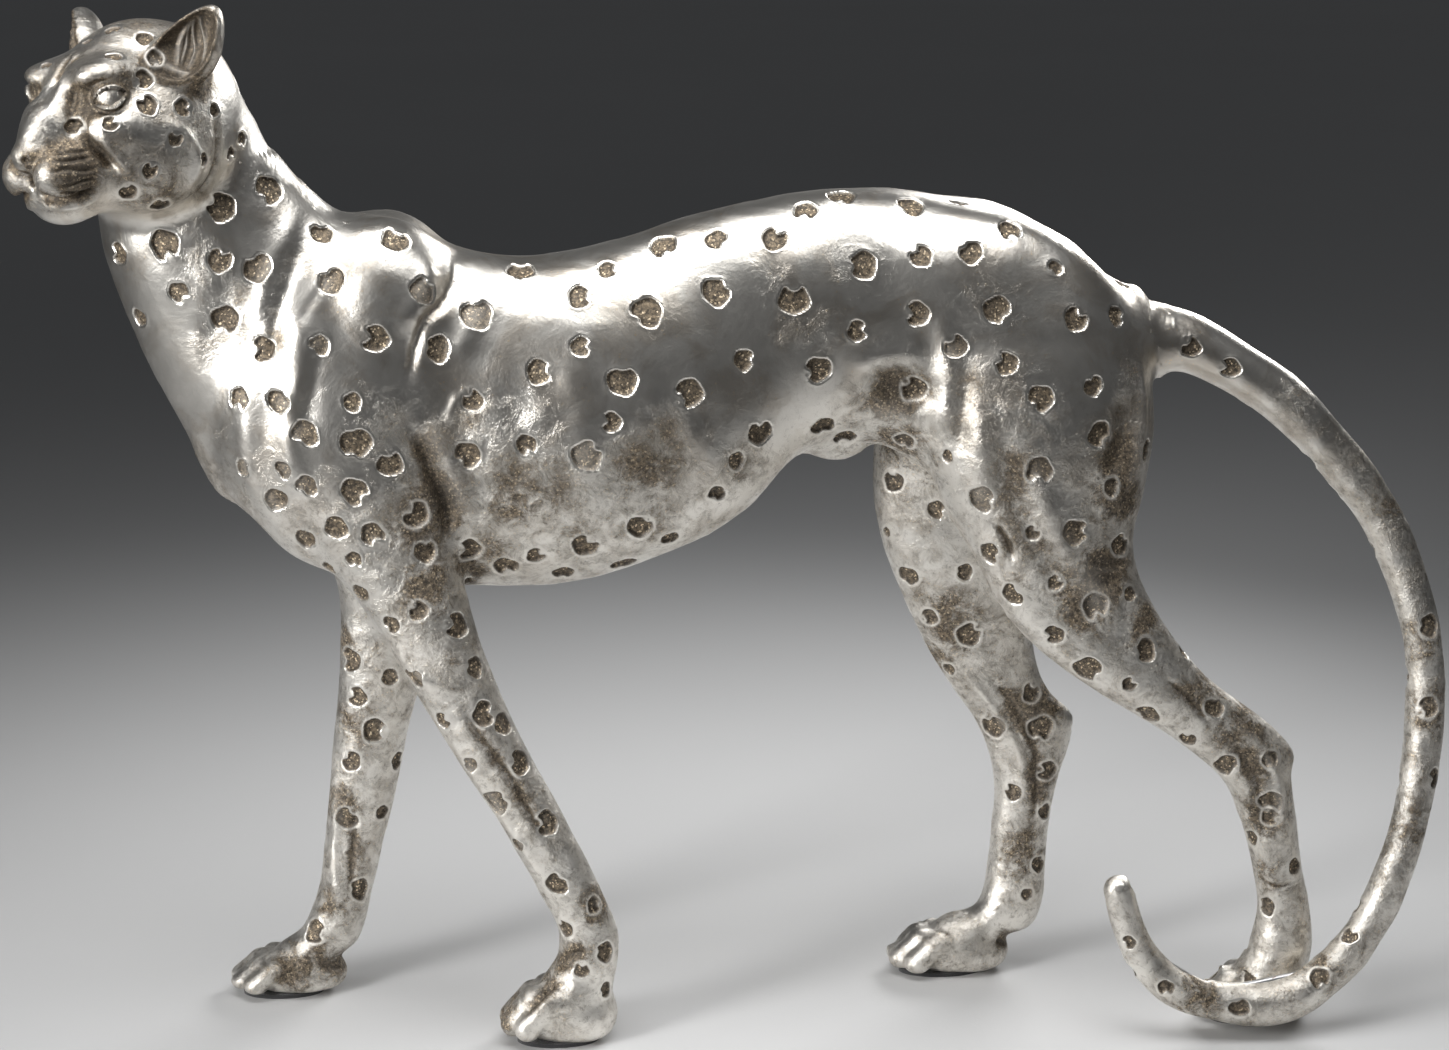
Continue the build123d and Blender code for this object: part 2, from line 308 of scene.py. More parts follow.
TORSO_ROWS = dense(TORSO, 1.0)
NECK_STEP = 2.0
NECK_ROWS = dense_path([(x, 0, z, depth, width) for x, z, depth, width in NECK], NECK_STEP)
NECK_ALONG = np.gradient(NECK_ROWS[:, (0, 2)], axis=0)
NECK_ALONG /= np.linalg.norm(NECK_ALONG, axis=1)[:, None]
TAIL_ROWS = dense_path([(x, -out, z, radius) for x, out, z, radius in TAIL], 2.0)
LIMB_ROWS = {}
for name, (side, profile, ends) in LIMBS.items():
    LIMB_ROWS[name] = dense(
        [
            (z, (front + rear) / 2, (rear - front) / 2, side * out, half_width)
            for (z, out, half_width), (front, rear) in zip(profile, ends)
        ],
        1.0,
    )


def barrel(p):
    """The trunk of the body."""
    low, high, half_width = (np.interp(p[:, 0], TORSO_ROWS[:, 0], TORSO_ROWS[:, i]) for i in (1, 2, 3))
    height = (high - low) / 2
    distance = oval(p[:, 1], p[:, 2] - (low + high) / 2, half_width, height, 2.25)
    ends = np.maximum(TORSO_ROWS[0, 0] - p[:, 0], p[:, 0] - TORSO_ROWS[-1, 0])
    return np.maximum(distance, ends)


def neck(p):
    """The neck: an oval section swept along a line in the mid plane."""
    rows = NECK_ROWS
    gaps = (p[:, 0:1] - rows[None, :, 0]) ** 2 + (p[:, 2:3] - rows[None, :, 2]) ** 2
    place = gaps.argmin(1).astype(float)
    for _ in range(3):
        base = np.clip(place.astype(int), 0, len(rows) - 2)
        share = (place - base)[:, None]
        here = rows[base] * (1 - share) + rows[base + 1] * share
        along = NECK_ALONG[base] * (1 - share) + NECK_ALONG[base + 1] * share
        gap = p[:, (0, 2)] - here[:, (0, 2)]
        forward = (gap * along).sum(1)
        place = np.clip(place + 0.7 * forward / NECK_STEP, 0, len(rows) - 1)
    sideways = gap[:, 0] * along[:, 1] - gap[:, 1] * along[:, 0]
    distance = oval(sideways, p[:, 1], here[:, 3], here[:, 4], 2.1)
    return join_cut(distance, np.abs(forward) - 5, 12)


def limb(p, name):
    """A leg from its ankle up into the body."""
    rows = LIMB_ROWS[name]
    x, half_length, y, half_width = (np.interp(p[:, 2], rows[:, 0], rows[:, i]) for i in (1, 2, 3, 4))
    distance = 0.85 * oval(p[:, 0] - x, p[:, 1] - y, half_length, half_width, 2.15)
    ends = np.maximum(rows[0, 0] - p[:, 2], p[:, 2] - rows[-1, 0])
    return join_cut(distance, ends, 8)


def join_cut(a, b, softness):
    """Intersection of two distances with a rounded edge."""
    return -join(-a, -b, softness)


def paw(p, name):
    """A paw with four toes, its sole flat on the pad."""
    toe_x, heel_x, out, tall = PAWS[name]
    y = LIMBS[name][0] * out
    middle = (toe_x + heel_x) / 2
    p = p / (1, 1, tall)
    distance = ellipsoid(p, (middle + 4, y, 11), (18.5, 12.8, 12.5))
    distance = join(distance, ellipsoid(p, (heel_x - 11, y, 10), (11.5, 11.5, 11)), 5)
    distance = join(distance, ellipsoid(p, (middle + 6, y, 20), (11, 9.5, 10)), 5)
    for across, back in TOES:
        knuckle = (toe_x + 14 + back, y + across * 0.92, 17.5)
        root = (toe_x + 25 + back, y + across * 0.6, 18)
        tip = (toe_x + 6.2 + back, y + across, 8.5)
        toe = capsule(p, root, knuckle, 4.6, 5.0)
        toe = join(toe, capsule(p, knuckle, tip, 5.0, 5.2), 2)
        distance = join(distance, toe, 1.6)
    return join_cut(distance * tall, SOLE - p[:, 2] * tall, 3)


def head_axes():
    """Ahead, left and up of the turned and tilted head."""
    turn, tilt = radians(HEAD_TURN), radians(HEAD_TILT)
    ahead = np.array((-cos(turn), -sin(turn), 0.0))
    left = np.array((sin(turn) * cos(tilt), -cos(turn) * cos(tilt), sin(tilt)))
    return np.stack([ahead, left, np.cross(left, ahead) * -1.0])


HEAD_AXES = head_axes()
HEAD_CENTRE = np.array((*HEAD_PIVOT, TILT_HEIGHT))


def to_head(p):
    """Animal frame to head frame: ahead of the pivot, to the left, height."""
    return (p - HEAD_CENTRE) @ HEAD_AXES.T + (0, 0, TILT_HEIGHT)


def from_head(q):
    """Head frame back to animal frame."""
    return (np.array(q, float) - (0, 0, TILT_HEIGHT)) @ HEAD_AXES + HEAD_CENTRE


def head(p):
    """The head, in its own turned frame, both sides alike."""
    q = to_head(p)
    q[:, 1] = np.sqrt(q[:, 1] ** 2 + 0.6)
    distance = ellipsoid(q, *HEAD_MASSES[0])
    for centre, radii in HEAD_MASSES[1:]:
        distance = join(distance, ellipsoid(q, centre, radii), 7)
    for centre, radii in MUZZLE_MASSES:
        distance = join(distance, ellipsoid(q, centre, radii), 4)
    distance = join(distance, ellipsoid(q, (61.5, 0, 325), (11, 10.5, 8.5)), 4)        # chin
    distance = join(distance, ellipsoid(q, (73, 0, 341), (7.8, 7.2, 6.2)), 1.6)        # nose pad
    distance = join(distance, ellipsoid(q, (49, 13.5, 367), (12, 8.5, 5.5)), 5)        # brow
    distance = carve(distance, ellipsoid(q, (58, 22.5, 359.5), (8, 8, 5.5)), 4)        # eye socket
    distance = join(distance, eye_lids(q), 1.5)
    distance = join(distance, ellipsoid(q, EYE, (EYE_RADIUS,) * 3), 0.2)
    cup, hollow = ear(q)
    return join(distance, 0.85 * carve(cup, hollow, 1.2), 3)


def eye_axes():
    """Towards the outer corner, up and outwards from the eye."""
    turn, slant = radians(EYE_TURN), radians(EYE_SLANT)
    out = np.array((cos(turn), sin(turn), 0.0))
    rear = np.array((-sin(turn), cos(turn), 0.0))
    up = np.array((0.0, 0.0, 1.0))
    return np.stack([rear * cos(slant) + up * sin(slant), up * cos(slant) - rear * sin(slant), out])


def almond(wide, tall):
    """Radius and offset of the two circles that make an almond."""
    radius = (wide**2 + tall**2) / (2 * tall)
    return radius, radius - tall


def eye_lids(q):
    """A ball a little larger than the eye, open where the eye looks out."""
    local = (q - EYE) @ eye_axes().T
    radius, offset = almond(*EYE_HALF)
    opening = np.maximum(
        np.hypot(local[:, 0], local[:, 1] - offset), np.hypot(local[:, 0], local[:, 1] + offset)
    ) - radius
    opening = np.maximum(opening, -local[:, 2])
    return carve(ellipsoid(q, EYE, (EYE_RADIUS + LID,) * 3), opening, 0.5)


def lid_line(wide, tall, side):
    """A line along the upper or lower edge of an almond laid over the eye, in the head's frame."""
    radius, offset = almond(wide, tall)
    along = np.linspace(-wide, wide, 17)
    above = side * (np.sqrt(radius**2 - along**2) - offset)
    out = np.sqrt(np.maximum((EYE_RADIUS + LID) ** 2 - along**2 - above**2, 0.1))
    return np.column_stack([along, above, out]) @ eye_axes() + EYE


def ear(q):
    """A cupped ear that opens forwards and outwards: its outside and its hollow."""
    face = np.array((cos(radians(EAR_TURN)), sin(radians(EAR_TURN)), 0.12))
    face /= np.linalg.norm(face)
    up = np.array((-0.12, 0.3, 0.95))
    up -= face * (up @ face)
    up /= np.linalg.norm(up)
    across = np.cross(up, face)
    local = (q - EAR_CENTRE) @ np.column_stack([across, up, face])
    local[:, 0] -= 0.30 * local[:, 1]                        # the tip leans outwards
    local[:, 0] /= np.clip(1 - 0.02 * local[:, 1], 0.6, 1.4)   # and is narrower than the base
    cup = ellipsoid(local, (0, 0, -2.5), (11.5, 17.0, 8.5))
    hollow = ellipsoid(local, (0, 1.0, 4.5), (9.4, 14.6, 9.5))
    return cup, hollow


def shape(low, high, softness, distance):
    """One solid of the skin: its box, its softness where it meets the others, and its distance."""
    return np.array(low, float), np.array(high, float), softness, distance


def mirrored_mass(centre, radii):
    """A muscle on both sides of the body."""
    reach = np.array(radii) + 14
    low = np.array(centre) - reach
    high = np.array(centre) + reach
    low[1] = -high[1]

    def distance(p):
        q = np.column_stack([p[:, 0], np.sqrt(p[:, 1] ** 2 + 1.0), p[:, 2]])
        return ellipsoid(q, centre, radii)

    return shape(low, high, 9, distance)


def limb_shape(name):
    """A leg as a solid of the skin."""
    rows = LIMB_ROWS[name]
    low = (rows[:, 1].min() - 60, rows[:, 3].min() - 35, 0)
    high = (rows[:, 1].max() + 60, rows[:, 3].max() + 35, rows[-1, 0] + 14)
    return shape(low, high, 8, lambda p: limb(p, name))


def paw_shape(name):
    """A paw as a solid of the skin."""
    toe_x, heel_x, out, _ = PAWS[name]
    y = LIMBS[name][0] * out
    return shape((toe_x - 14, y - 32, -12), (heel_x + 14, y + 32, 48), 6, lambda p: paw(p, name))


BODY_SHAPES = [
    shape((-215, -50, 158), (165, 50, 334), 9, barrel),
    shape((-255, -45, 165), (-100, 45, 385), 9, neck),
    shape((-285, -90, 290), (-150, 60, 410), 7, head),
    *[mirrored_mass(centre, radii) for centre, radii in MASSES],
]
LIMB_SHAPES = [limb_shape(name) for name in LIMBS]
PAW_SHAPES = [paw_shape(name) for name in PAWS]
TAIL_ROOT = shape((120, -32, 235), (205, 32, 290), 9, lambda p: tube(p, TAIL_ROWS[:40]))
TAIL_WHOLE = shape((116, -75, -12), (285, 32, 290), 9, lambda p: tube(p, TAIL_ROWS))


def swell(p):
    """The slow unevenness of a surface modelled by hand."""
    x, y, z = p.T / 13.0
    wave = np.sin(x + 2.1 * np.sin(0.61 * z + 0.4 * y)) * np.sin(0.83 * z + 1.9 * np.sin(0.57 * x + y))
    ripple = np.sin(2.1 * x + 2.3 * np.sin(z + y)) * np.sin(1.7 * z + 2.2 * np.sin(1.1 * x - y) + 0.5)
    return 0.4 * wave + 0.14 * ripple


def field_of(shapes):
    """One distance function for several solids."""
    def distance(p):
        total = np.full(len(p), FAR)
        for low, high, softness, measure in shapes:
            near = np.flatnonzero(((p > low) & (p < high)).all(1))
            if len(near):
                total[near] = join(total[near], measure(p[near]), softness)
        return total + swell(p)
    return distance


# ---- meshing ----
def mesh_of(field, low, high, voxel):
    """Triangles on the zero level of a field inside a box, worked out only near that level."""
    span = voxel * BLOCK
    low, high = np.array(low, float), np.array(high, float)
    counts = np.ceil((high - low) / span).astype(int)
    corners = np.stack(np.meshgrid(*[np.arange(n) for n in counts], indexing="ij"), -1).reshape(-1, 3)
    centres = low + (corners + 0.5) * span
    rough = field(centres)
    grid = np.full(counts * BLOCK, FAR, np.float32)
    near = np.abs(rough) < span * NEAR_SPANS + NEAR_MARGIN
    cells = np.stack(np.meshgrid(*[np.arange(BLOCK)] * 3, indexing="ij"), -1).reshape(-1, 3)
    for corner in corners[~near & (rough < 0)] * BLOCK:
        grid[corner[0]:corner[0] + BLOCK, corner[1]:corner[1] + BLOCK, corner[2]:corner[2] + BLOCK] = -FAR
    index = (corners[near][:, None, :] * BLOCK + cells[None]).reshape(-1, 3)
    values = field(low + index * voxel)
    grid[index[:, 0], index[:, 1], index[:, 2]] = np.clip(values, -CLIP, CLIP)
    volume = openvdb.FloatGrid(FAR)
    volume.copyFromArray(grid)
    points, quads = volume.convertToQuads(isovalue=0.0)
    triangles = np.concatenate([quads[:, (0, 1, 2)], quads[:, (0, 2, 3)]]).astype(np.int64)
    return low + points.astype(float) * voxel, triangles


def slope_of(field, p, here):
    """The field's gradient by small steps."""
    return np.column_stack([(field(p + axis * SLOPE_STEP) - here) / SLOPE_STEP for axis in np.eye(3)])


def settle(field, p, rounds=2):
    """Move points onto the zero level; also gives the outward normals there."""
    p = p.copy()
    for _ in range(rounds):
        here = field(p)
        slope = slope_of(field, p, here)
        size = np.maximum((slope**2).sum(1), LEAST_SLOPE)
        move = slope * (here / size)[:, None]
        length = np.linalg.norm(move, axis=1)
        p -= move * np.minimum(1, LONGEST_MOVE / np.maximum(length, 1e-9))[:, None]
    slope = slope_of(field, p, field(p))
    return p, slope / (np.linalg.norm(slope, axis=1)[:, None] + 1e-9)


def refine(points, triangles, wanted):
    """Split every edge that is longer than wanted at its middle, and keep the mesh whole."""
    pairs = np.sort(triangles[:, (0, 1, 1, 2, 2, 0)].reshape(-1, 2), axis=1)
    keys, inverse = np.unique(pairs[:, 0] * len(points) + pairs[:, 1], return_inverse=True)
    ends = np.column_stack([keys // len(points), keys % len(points)])
    middles = points[ends].mean(1)
    lengths = np.linalg.norm(points[ends[:, 0]] - points[ends[:, 1]], axis=1)
    split = lengths > wanted(middles)
    marks = inverse.reshape(-1, 3)
    for _ in range(2):
        crowded = split[marks].sum(1) == 2
        split[marks[crowded].ravel()] = True
    new_index = np.full(len(keys), -1)
    new_index[split] = len(points) + np.arange(split.sum())
    points = np.concatenate([points, middles[split]])
    a, b, c = triangles.T
    ab, bc, ca = new_index[marks].T
    parts = []
    count = (new_index[marks] >= 0).sum(1)
    whole = count == 0
    parts.append(triangles[whole])
    full = count == 3
    for trio in ((a, ab, ca), (ab, b, bc), (ca, bc, c), (ab, bc, ca)):
        parts.append(np.column_stack([corner[full] for corner in trio]))
    for first, second, third, middle in ((a, b, c, ab), (b, c, a, bc), (c, a, b, ca)):
        one = (count == 1) & (middle >= 0)
        parts.append(np.column_stack([first[one], middle[one], third[one]]))
        parts.append(np.column_stack([middle[one], second[one], third[one]]))
    for first, second, third, m1, m2 in ((a, b, c, ab, bc), (b, c, a, bc, ca), (c, a, b, ca, ab)):
        two = (count == 2) & (m1 >= 0) & (m2 >= 0)
        parts.append(np.column_stack([m1[two], second[two], m2[two]]))
        parts.append(np.column_stack([first[two], m1[two], m2[two]]))
        parts.append(np.column_stack([first[two], m2[two], third[two]]))
    return points, np.concatenate(parts)


# ---- marks on the skin ----
FLANK_PLANE = -33.0      # marks of the left side are given as x, z on this upright plane
SIGHT_REACH = (-45, 95)  # how far before and behind that plane a surface is looked for
SIGHT_STEP = 0.8
TAIL_START_X = 150.0     # the tail is behind it
LEFT_SHAPES = BODY_SHAPES + LIMB_SHAPES[0::2] + PAW_SHAPES[0::2]
RIGHT_SHAPES = BODY_SHAPES + LIMB_SHAPES[1::2] + PAW_SHAPES[1::2]
SPOT_DEPTH = 1.35
SPOT_WALL = 0.5
RIM_HEIGHT = 0.17
RIM_WIDTH = 0.5
PLAIN = -1               # notch direction of a spot that has no notch

# pressed spots: x, z, width, and where the notch is (0 behind, 90 above)
SHOULDER_SPOTS = [
    (-156, 310, 8, 90), (-130, 308, 11, 90), (-153, 293, 10, 135), (-121, 289, 10, 45), (-102, 280, 11, 90),
    (-86, 296, 10, 90), (-158, 270, 7, 225), (-138, 272, 10, 180), (-116, 268, 10, 180), (-80, 259, 10, 0),
    (-187, 251, 8, 270), (-173, 250, 9, 45), (-147, 249, 7, PLAIN), (-104, 249, 8, 135),
    (-164, 238, 10, 225), (-146, 234, 12, 270), (-134, 226, 10, 90), (-106, 229, 10, 225),
    (-85, 232, 8, 270), (-186, 226, 7, 0), (-172, 225, 7, 225), (-164, 219, 8, 225), (-175, 214, 9, PLAIN),
    (-147, 216, 10, 315), (-125, 207, 10, 135), (-154, 203, 9, PLAIN), (-141, 200, 9, 315),
    (-165, 199, 8, PLAIN), (-122, 193, 9, 90), (-106, 194, 9, 180), (-148, 191, 6, 270),
    (-157, 188, 6, PLAIN), (-93, 187, 10, 270), (-82, 191, 7, 45), (-178, 269, 10, 180), (-192, 301, 9, 45),
    (-179, 298, 11, 135), (-191, 280, 10, 270), (-191, 320, 11, 135), (-211, 307, 11, 270),
    (-227, 304, 9, 180), (-207, 290, 8, 315), (-174, 326, 11, 225), (-221, 281, 7, PLAIN),
]
FLANK_SPOTS = [
    (-35, 304, 10, 270), (-16, 306, 8, 315), (5, 306, 10, 45), (16, 316, 9, 270), (29, 321, 10, 270),
    (54, 317, 10, 225), (-55, 296, 8, 0), (-65, 286, 10, 0), (-41, 280, 11, 225), (-16, 287, 11, 45),
    (12, 284, 12, 90), (37, 296, 10, 180), (58, 299, 8, 135), (57, 278, 10, 180), (35, 272, 8, 0),
    (21, 258, 10, 180), (-6, 262, 8, 0), (-65, 268, 7, 0), (-50, 255, 11, 90), (-26, 250, 11, 225),
    (-54, 240, 8, 180), (-63, 228, 11, 45), (0, 235, 10, 90), (23, 237, 9, 270), (31, 233, 9, 270),
    (-9, 225, 7, PLAIN), (-16, 213, 7, 225), (-44, 201, 10, 45), (-64, 194, 11, 45), (-33, 196, 7, 270),
    (-50, 187, 10, 270), (-72, 184, 8, 270), (56, 250, 10, 135),
]
HAUNCH_SPOTS = [
    (71, 318, 7, 270), (90, 308, 9, 270), (76, 300, 9, 135), (86, 279, 10, 315), (107, 294, 6, 225),
    (115, 275, 10, 45), (71, 266, 9, 135), (90, 259, 9, 135), (103, 246, 10, 225), (122, 250, 8, 135),
    (125, 232, 10, 315), (130, 276, 8, 0), (143, 271, 11, PLAIN), (131, 287, 7, 270), (142, 226, 8, 0),
    (103, 219, 10, 270), (82, 209, 10, 0), (130, 212, 7, 0), (101, 195, 6, 45), (117, 195, 10, 0),
    (134, 190, 8, 45), (85, 188, 8, 0), (94, 172, 9, 45), (110, 176, 6, 45), (125, 167, 10, 270),
    (110, 156, 8, 180), (138, 171, 6, PLAIN), (69, 225, 5, PLAIN),
]
HEAD_SPOTS = [
    (-212, 321, 7, 45), (-223, 326, 6, 90), (-215, 333, 6, 45), (-197, 337, 5, 180), (-206, 344, 6, 90),
    (-228, 350, 6, 45), (-215, 356, 7, 135), (-203, 355, 6, 0), (-216, 365, 7, 225), (-212, 372, 6, 270),
    (-241, 349, 6, 315), (-226, 373, 6, 270), (-235, 378, 5, 225), (-226, 382, 6, 270),
    (-215, 379, 7, PLAIN), (-249, 370, 4, 270), (-192, 354, 5, PLAIN), (-183, 344, 5, 270),
    (-171, 341, 5, 180), (-187, 339, 5, 270),
]
LEFT_LEG_SPOTS = [
    (-125, 171, 8, 135), (-135, 166, 7, 225), (-111, 165, 10, 180), (-127, 146, 9, 90), (-105, 149, 8, 180),
    (-117, 129, 7, 45), (-102, 131, 10, 0), (-107, 112, 6, 180), (-89, 112, 10, 180), (-98, 97, 10, 45),
    (-79, 88, 11, 180), (-90, 80, 6, PLAIN), (-76, 64, 9, 45), (-73, 46, 7, 135), (-62, 55, 7, 0),
    (-67, 29, 6, 90), (-58, 36, 8, 180), (-58, 21, 6, 180), (-146, 178, 7, PLAIN), (-95, 127, 9, PLAIN),
    (123, 142, 11, 315), (139, 136, 6, 45), (146, 124, 10, 225), (162, 114, 7, 90), (177, 103, 10, 315),
    (145, 149, 9, 180), (159, 148, 6, PLAIN), (172, 126, 8, 90), (194, 105, 7, 270), (195, 88, 9, 270),
    (195, 82, 7, 0), (188, 74, 6, 180), (205, 62, 7, PLAIN), (195, 46, 7, 180),
]
RIGHT_LEG_SPOTS = [
    (-150, 153, 10, 180), (-148, 139, 8, 180), (-142, 126, 10, 0), (-151, 114, 8, 135), (-153, 92, 9, 45),
    (-149, 64, 9, 180), (-166, 48, 10, 0), (-140, 94, 6, PLAIN), (-134, 114, 8, 0), (-136, 146, 7, PLAIN),
    (55, 180, 9, 270), (65, 205, 7, 0), (49, 216, 9, 90), (76, 181, 7, 180), (63, 164, 7, 225),
    (78, 157, 9, 45), (47, 197, 4, PLAIN), (53, 231, 7, 270), (71, 144, 5, PLAIN), (88, 121, 10, 135),
    (102, 134, 8, 90), (106, 120, 10, 270), (96, 95, 7, 135), (109, 103, 8, 180), (106, 66, 7, 45),
    (102, 54, 5, PLAIN), (108, 87, 6, PLAIN),
]
TAIL_SPOTS = [
    (158, 264, 8, 135), (173, 256, 8, 180), (253, 156, 9, 180), (254, 124, 8, 225), (258, 96, 8, 180),
    (228, 33, 7, 45), (217, 16, 8, 270), (186, 5, 8, 90), (157, 14, 7, 270), (142, 33, 6, 225),
]

# brown patina: x, z, reach, strength
LEFT_STAINS = [
    (-116, 213, 13, 1.0), (-119, 233, 9, 0.9), (-124, 200, 10, 0.9), (-133, 243, 13, 0.7),
    (-183, 290, 8, 0.7), (-188, 278, 8, 0.7), (-174, 271, 9, 0.6), (-122, 180, 11, 0.8),
    (-93, 213, 11, 0.7), (-99, 192, 9, 0.6), (-106, 243, 8, 0.5), (-197, 300, 9, 0.6), (37, 296, 14, 0.5),
    (17, 273, 13, 0.5), (2, 291, 11, 0.4), (50, 250, 14, 0.9), (76, 257, 9, 0.6), (83, 280, 14, 0.5),
    (99, 246, 15, 0.5), (97, 221, 11, 0.5), (137, 253, 10, 0.8), (134, 222, 9, 0.8), (-48, 223, 13, 0.7),
    (-73, 219, 13, 0.6), (-9, 223, 9, 0.6), (-33, 236, 7, 0.5), (-43, 203, 11, 0.5), (-65, 196, 9, 0.5),
    (128, 180, 11, 1.0), (122, 168, 12, 0.9), (133, 208, 11, 0.8), (145, 159, 9, 0.8), (158, 150, 10, 0.7),
    (169, 133, 10, 0.8), (183, 121, 10, 0.8), (190, 106, 9, 0.7), (195, 83, 8, 0.8), (191, 61, 7, 0.6),
    (-106, 190, 8, 0.7), (-94, 159, 8, 0.7), (-80, 128, 8, 0.7), (-69, 97, 9, 0.7), (-62, 55, 7, 0.8),
    (-68, 35, 6, 0.9), (-78, 26, 9, 0.6), (-96, 13, 7, 0.8),
]
RIGHT_STAINS = [
    (52, 231, 10, 0.9), (72, 161, 11, 0.8), (66, 148, 8, 0.6), (104, 126, 11, 0.9), (90, 122, 7, 0.6),
    (99, 71, 10, 0.7), (107, 102, 8, 0.6), (-152, 161, 9, 0.7), (-151, 130, 9, 0.7), (-157, 99, 9, 0.7),
    (-159, 58, 8, 0.8), (-165, 46, 6, 0.7), (-177, 36, 8, 0.6),
]
TAIL_STAINS = [
    (199, 245, 10, 0.6), (236, 202, 9, 0.5), (252, 150, 9, 0.6), (254, 120, 9, 0.5), (247, 76, 10, 0.6),
    (216, 20, 9, 0.7), (172, 12, 10, 0.6),
]
# the same on the face: ahead, left, height, reach, strength
FACE_STAINS = [
    (68, 15, 336, 10, 1.3), (48, 24, 366, 7, 0.8), (58, 14, 355, 6, 1.1), (56, 20, 342, 6, 0.8),
    (53, 24, 333, 6, 0.6), (72, 8, 327, 6, 0.9), (60, 10, 362, 7, 0.7), (40, 22, 372, 9, 0.5),
    (28, 31, 345, 12, 0.5), (40, 26, 325, 12, 0.5), (22, 32, 362, 9, 0.8), (76, 6, 341, 5, 0.7),
    (30, 8, 383, 12, 0.4),
]

# folds and ridges of the left side: half width, height (negative is a groove), points x, z
BODY_STROKES = [
    (2.2, -2.2, [(-110.5, 303), (-110, 293), (-114, 284.5), (-120, 278.5), (-123, 271.5), (-125, 264),
                 (-127, 252)]),
    (4.5, 1.6, [(-120, 304), (-119, 292), (-125, 282), (-131, 272)]),
    (4.5, 1.4, [(-102, 296), (-101, 284), (-106, 272), (-113, 262)]),
    (2.4, -2.8, [(-126, 244), (-123, 233), (-119, 221.5), (-115, 212.5), (-114, 202), (-119, 190)]),
    (3.4, 1.8, [(-120, 246), (-115.5, 232), (-111, 222), (-107, 211), (-108, 200)]),
    (2.4, -1.2, [(-161.5, 314), (-164.5, 302.5), (-168.5, 292), (-172, 283), (-174.5, 272), (-178, 256)]),
    (3.4, 1.1, [(-163.5, 322), (-168, 312), (-173, 301), (-178, 286), (-181, 270)]),
    (3.6, 1.0, [(-155, 305), (-157.5, 290), (-164, 277), (-168.5, 265), (-172.5, 257)]),
    (2.2, -0.7, [(-153, 296), (-159, 287), (-162.5, 281), (-164.5, 274)]),
    (4.6, 1.3, [(-150, 287), (-157.5, 277.5), (-162.5, 268.5), (-165, 259.5), (-168, 248.5), (-170, 239.5),
                (-169, 228), (-166, 217), (-158, 206)]),
    (3.2, -0.7, [(-155, 275), (-160, 262), (-163, 248), (-163.5, 236)]),
    (4.4, 1.0, [(-182, 262), (-185, 242), (-184, 224), (-177, 210), (-162, 196)]),
    (2.2, 0.9, [(-107.5, 253), (-111, 246.5), (-113.5, 238)]),
    (5.0, -0.9, [(-184.5, 295), (-191.5, 284), (-196, 269), (-196, 256)]),
    (3.4, -0.6, [(-177.5, 284), (-181.5, 272.5), (-185.5, 259.5), (-187, 246)]),
    (5.0, 1.7, [(64, 284), (67.5, 266), (69, 255), (68.5, 248), (66.5, 236), (66, 226)]),
    (3.4, -1.2, [(73, 262), (74.5, 248), (73.5, 235), (74, 222)]),
    (5.0, 1.2, [(77.5, 249.5), (79.5, 238.5), (81, 227), (82, 213), (85, 198)]),
    (6.5, -2.2, [(40, 249), (49, 252), (57, 250), (61, 242)]),
    (4.0, 1.0, [(30, 257), (42, 262), (54, 263), (62, 258)]),
    (4.0, 1.0, [(29, 240), (41, 241.5), (52, 240), (62, 236.5)]),
    (4.5, -2.6, [(132, 251), (134, 242), (133.5, 232.5), (131, 220.5), (129.5, 212)]),
    (2.6, 1.5, [(137.5, 263), (140, 251), (141, 237), (139, 222), (137, 208)]),
    (1.3, -1.6, [(85.5, 201), (89, 196.5), (92, 191), (94, 183)]),
    (2.0, -1.5, [(121, 184.5), (130.5, 182), (138, 184)]),
    (3.0, -1.2, [(118, 178), (128, 175), (136, 178)]),
    (4.0, 1.3, [(100, 232), (103, 215), (108, 198), (118, 182), (130, 166), (142, 152)]),
    (4.5, -1.2, [(88, 240), (91, 222), (96, 205), (104, 188), (115, 170)]),
    (6.0, -1.0, [(-95, 262), (-88, 245), (-88, 225), (-94, 206)]),
    (6.0, 0.9, [(-76, 272), (-66, 250), (-64, 225), (-70, 205)]),
    (6.0, -0.8, [(-40, 268), (-34, 248), (-36, 225), (-44, 208)]),
    (5.0, 0.8, [(-30, 243), (-22, 232), (-16, 222), (-12, 212)]),
]
LEG_STROKES = [
    (1.8, -1.4, [(-112, 140), (-104, 124), (-92, 106), (-83, 88), (-72, 72)]),
    (2.4, 1.0, [(-117, 128), (-106, 108), (-95, 90), (-84, 72), (-77, 58)]),
    (1.1, -1.1, [(-79, 36), (-74, 34.5), (-69.5, 36), (-64, 36.5)]),
    (0.8, -0.7, [(-78, 31), (-72, 30), (-65, 31.5)]),
    (1.5, -1.5, [(-75, 25), (-82, 19), (-90, 10)]),
    (2.2, 1.2, [(-134, 160), (-127, 148), (-118, 140)]),
    (2.0, -1.3, [(170, 118), (180, 110), (188, 100), (191, 84), (193, 68)]),
    (2.0, 1.2, [(176, 122), (188, 112), (196, 100), (199, 84), (201, 64)]),
    (1.4, -1.0, [(150, 140), (162, 130), (172, 118)]),
    (0.9, -0.8, [(193, 56), (200, 54), (206, 56)]),
]
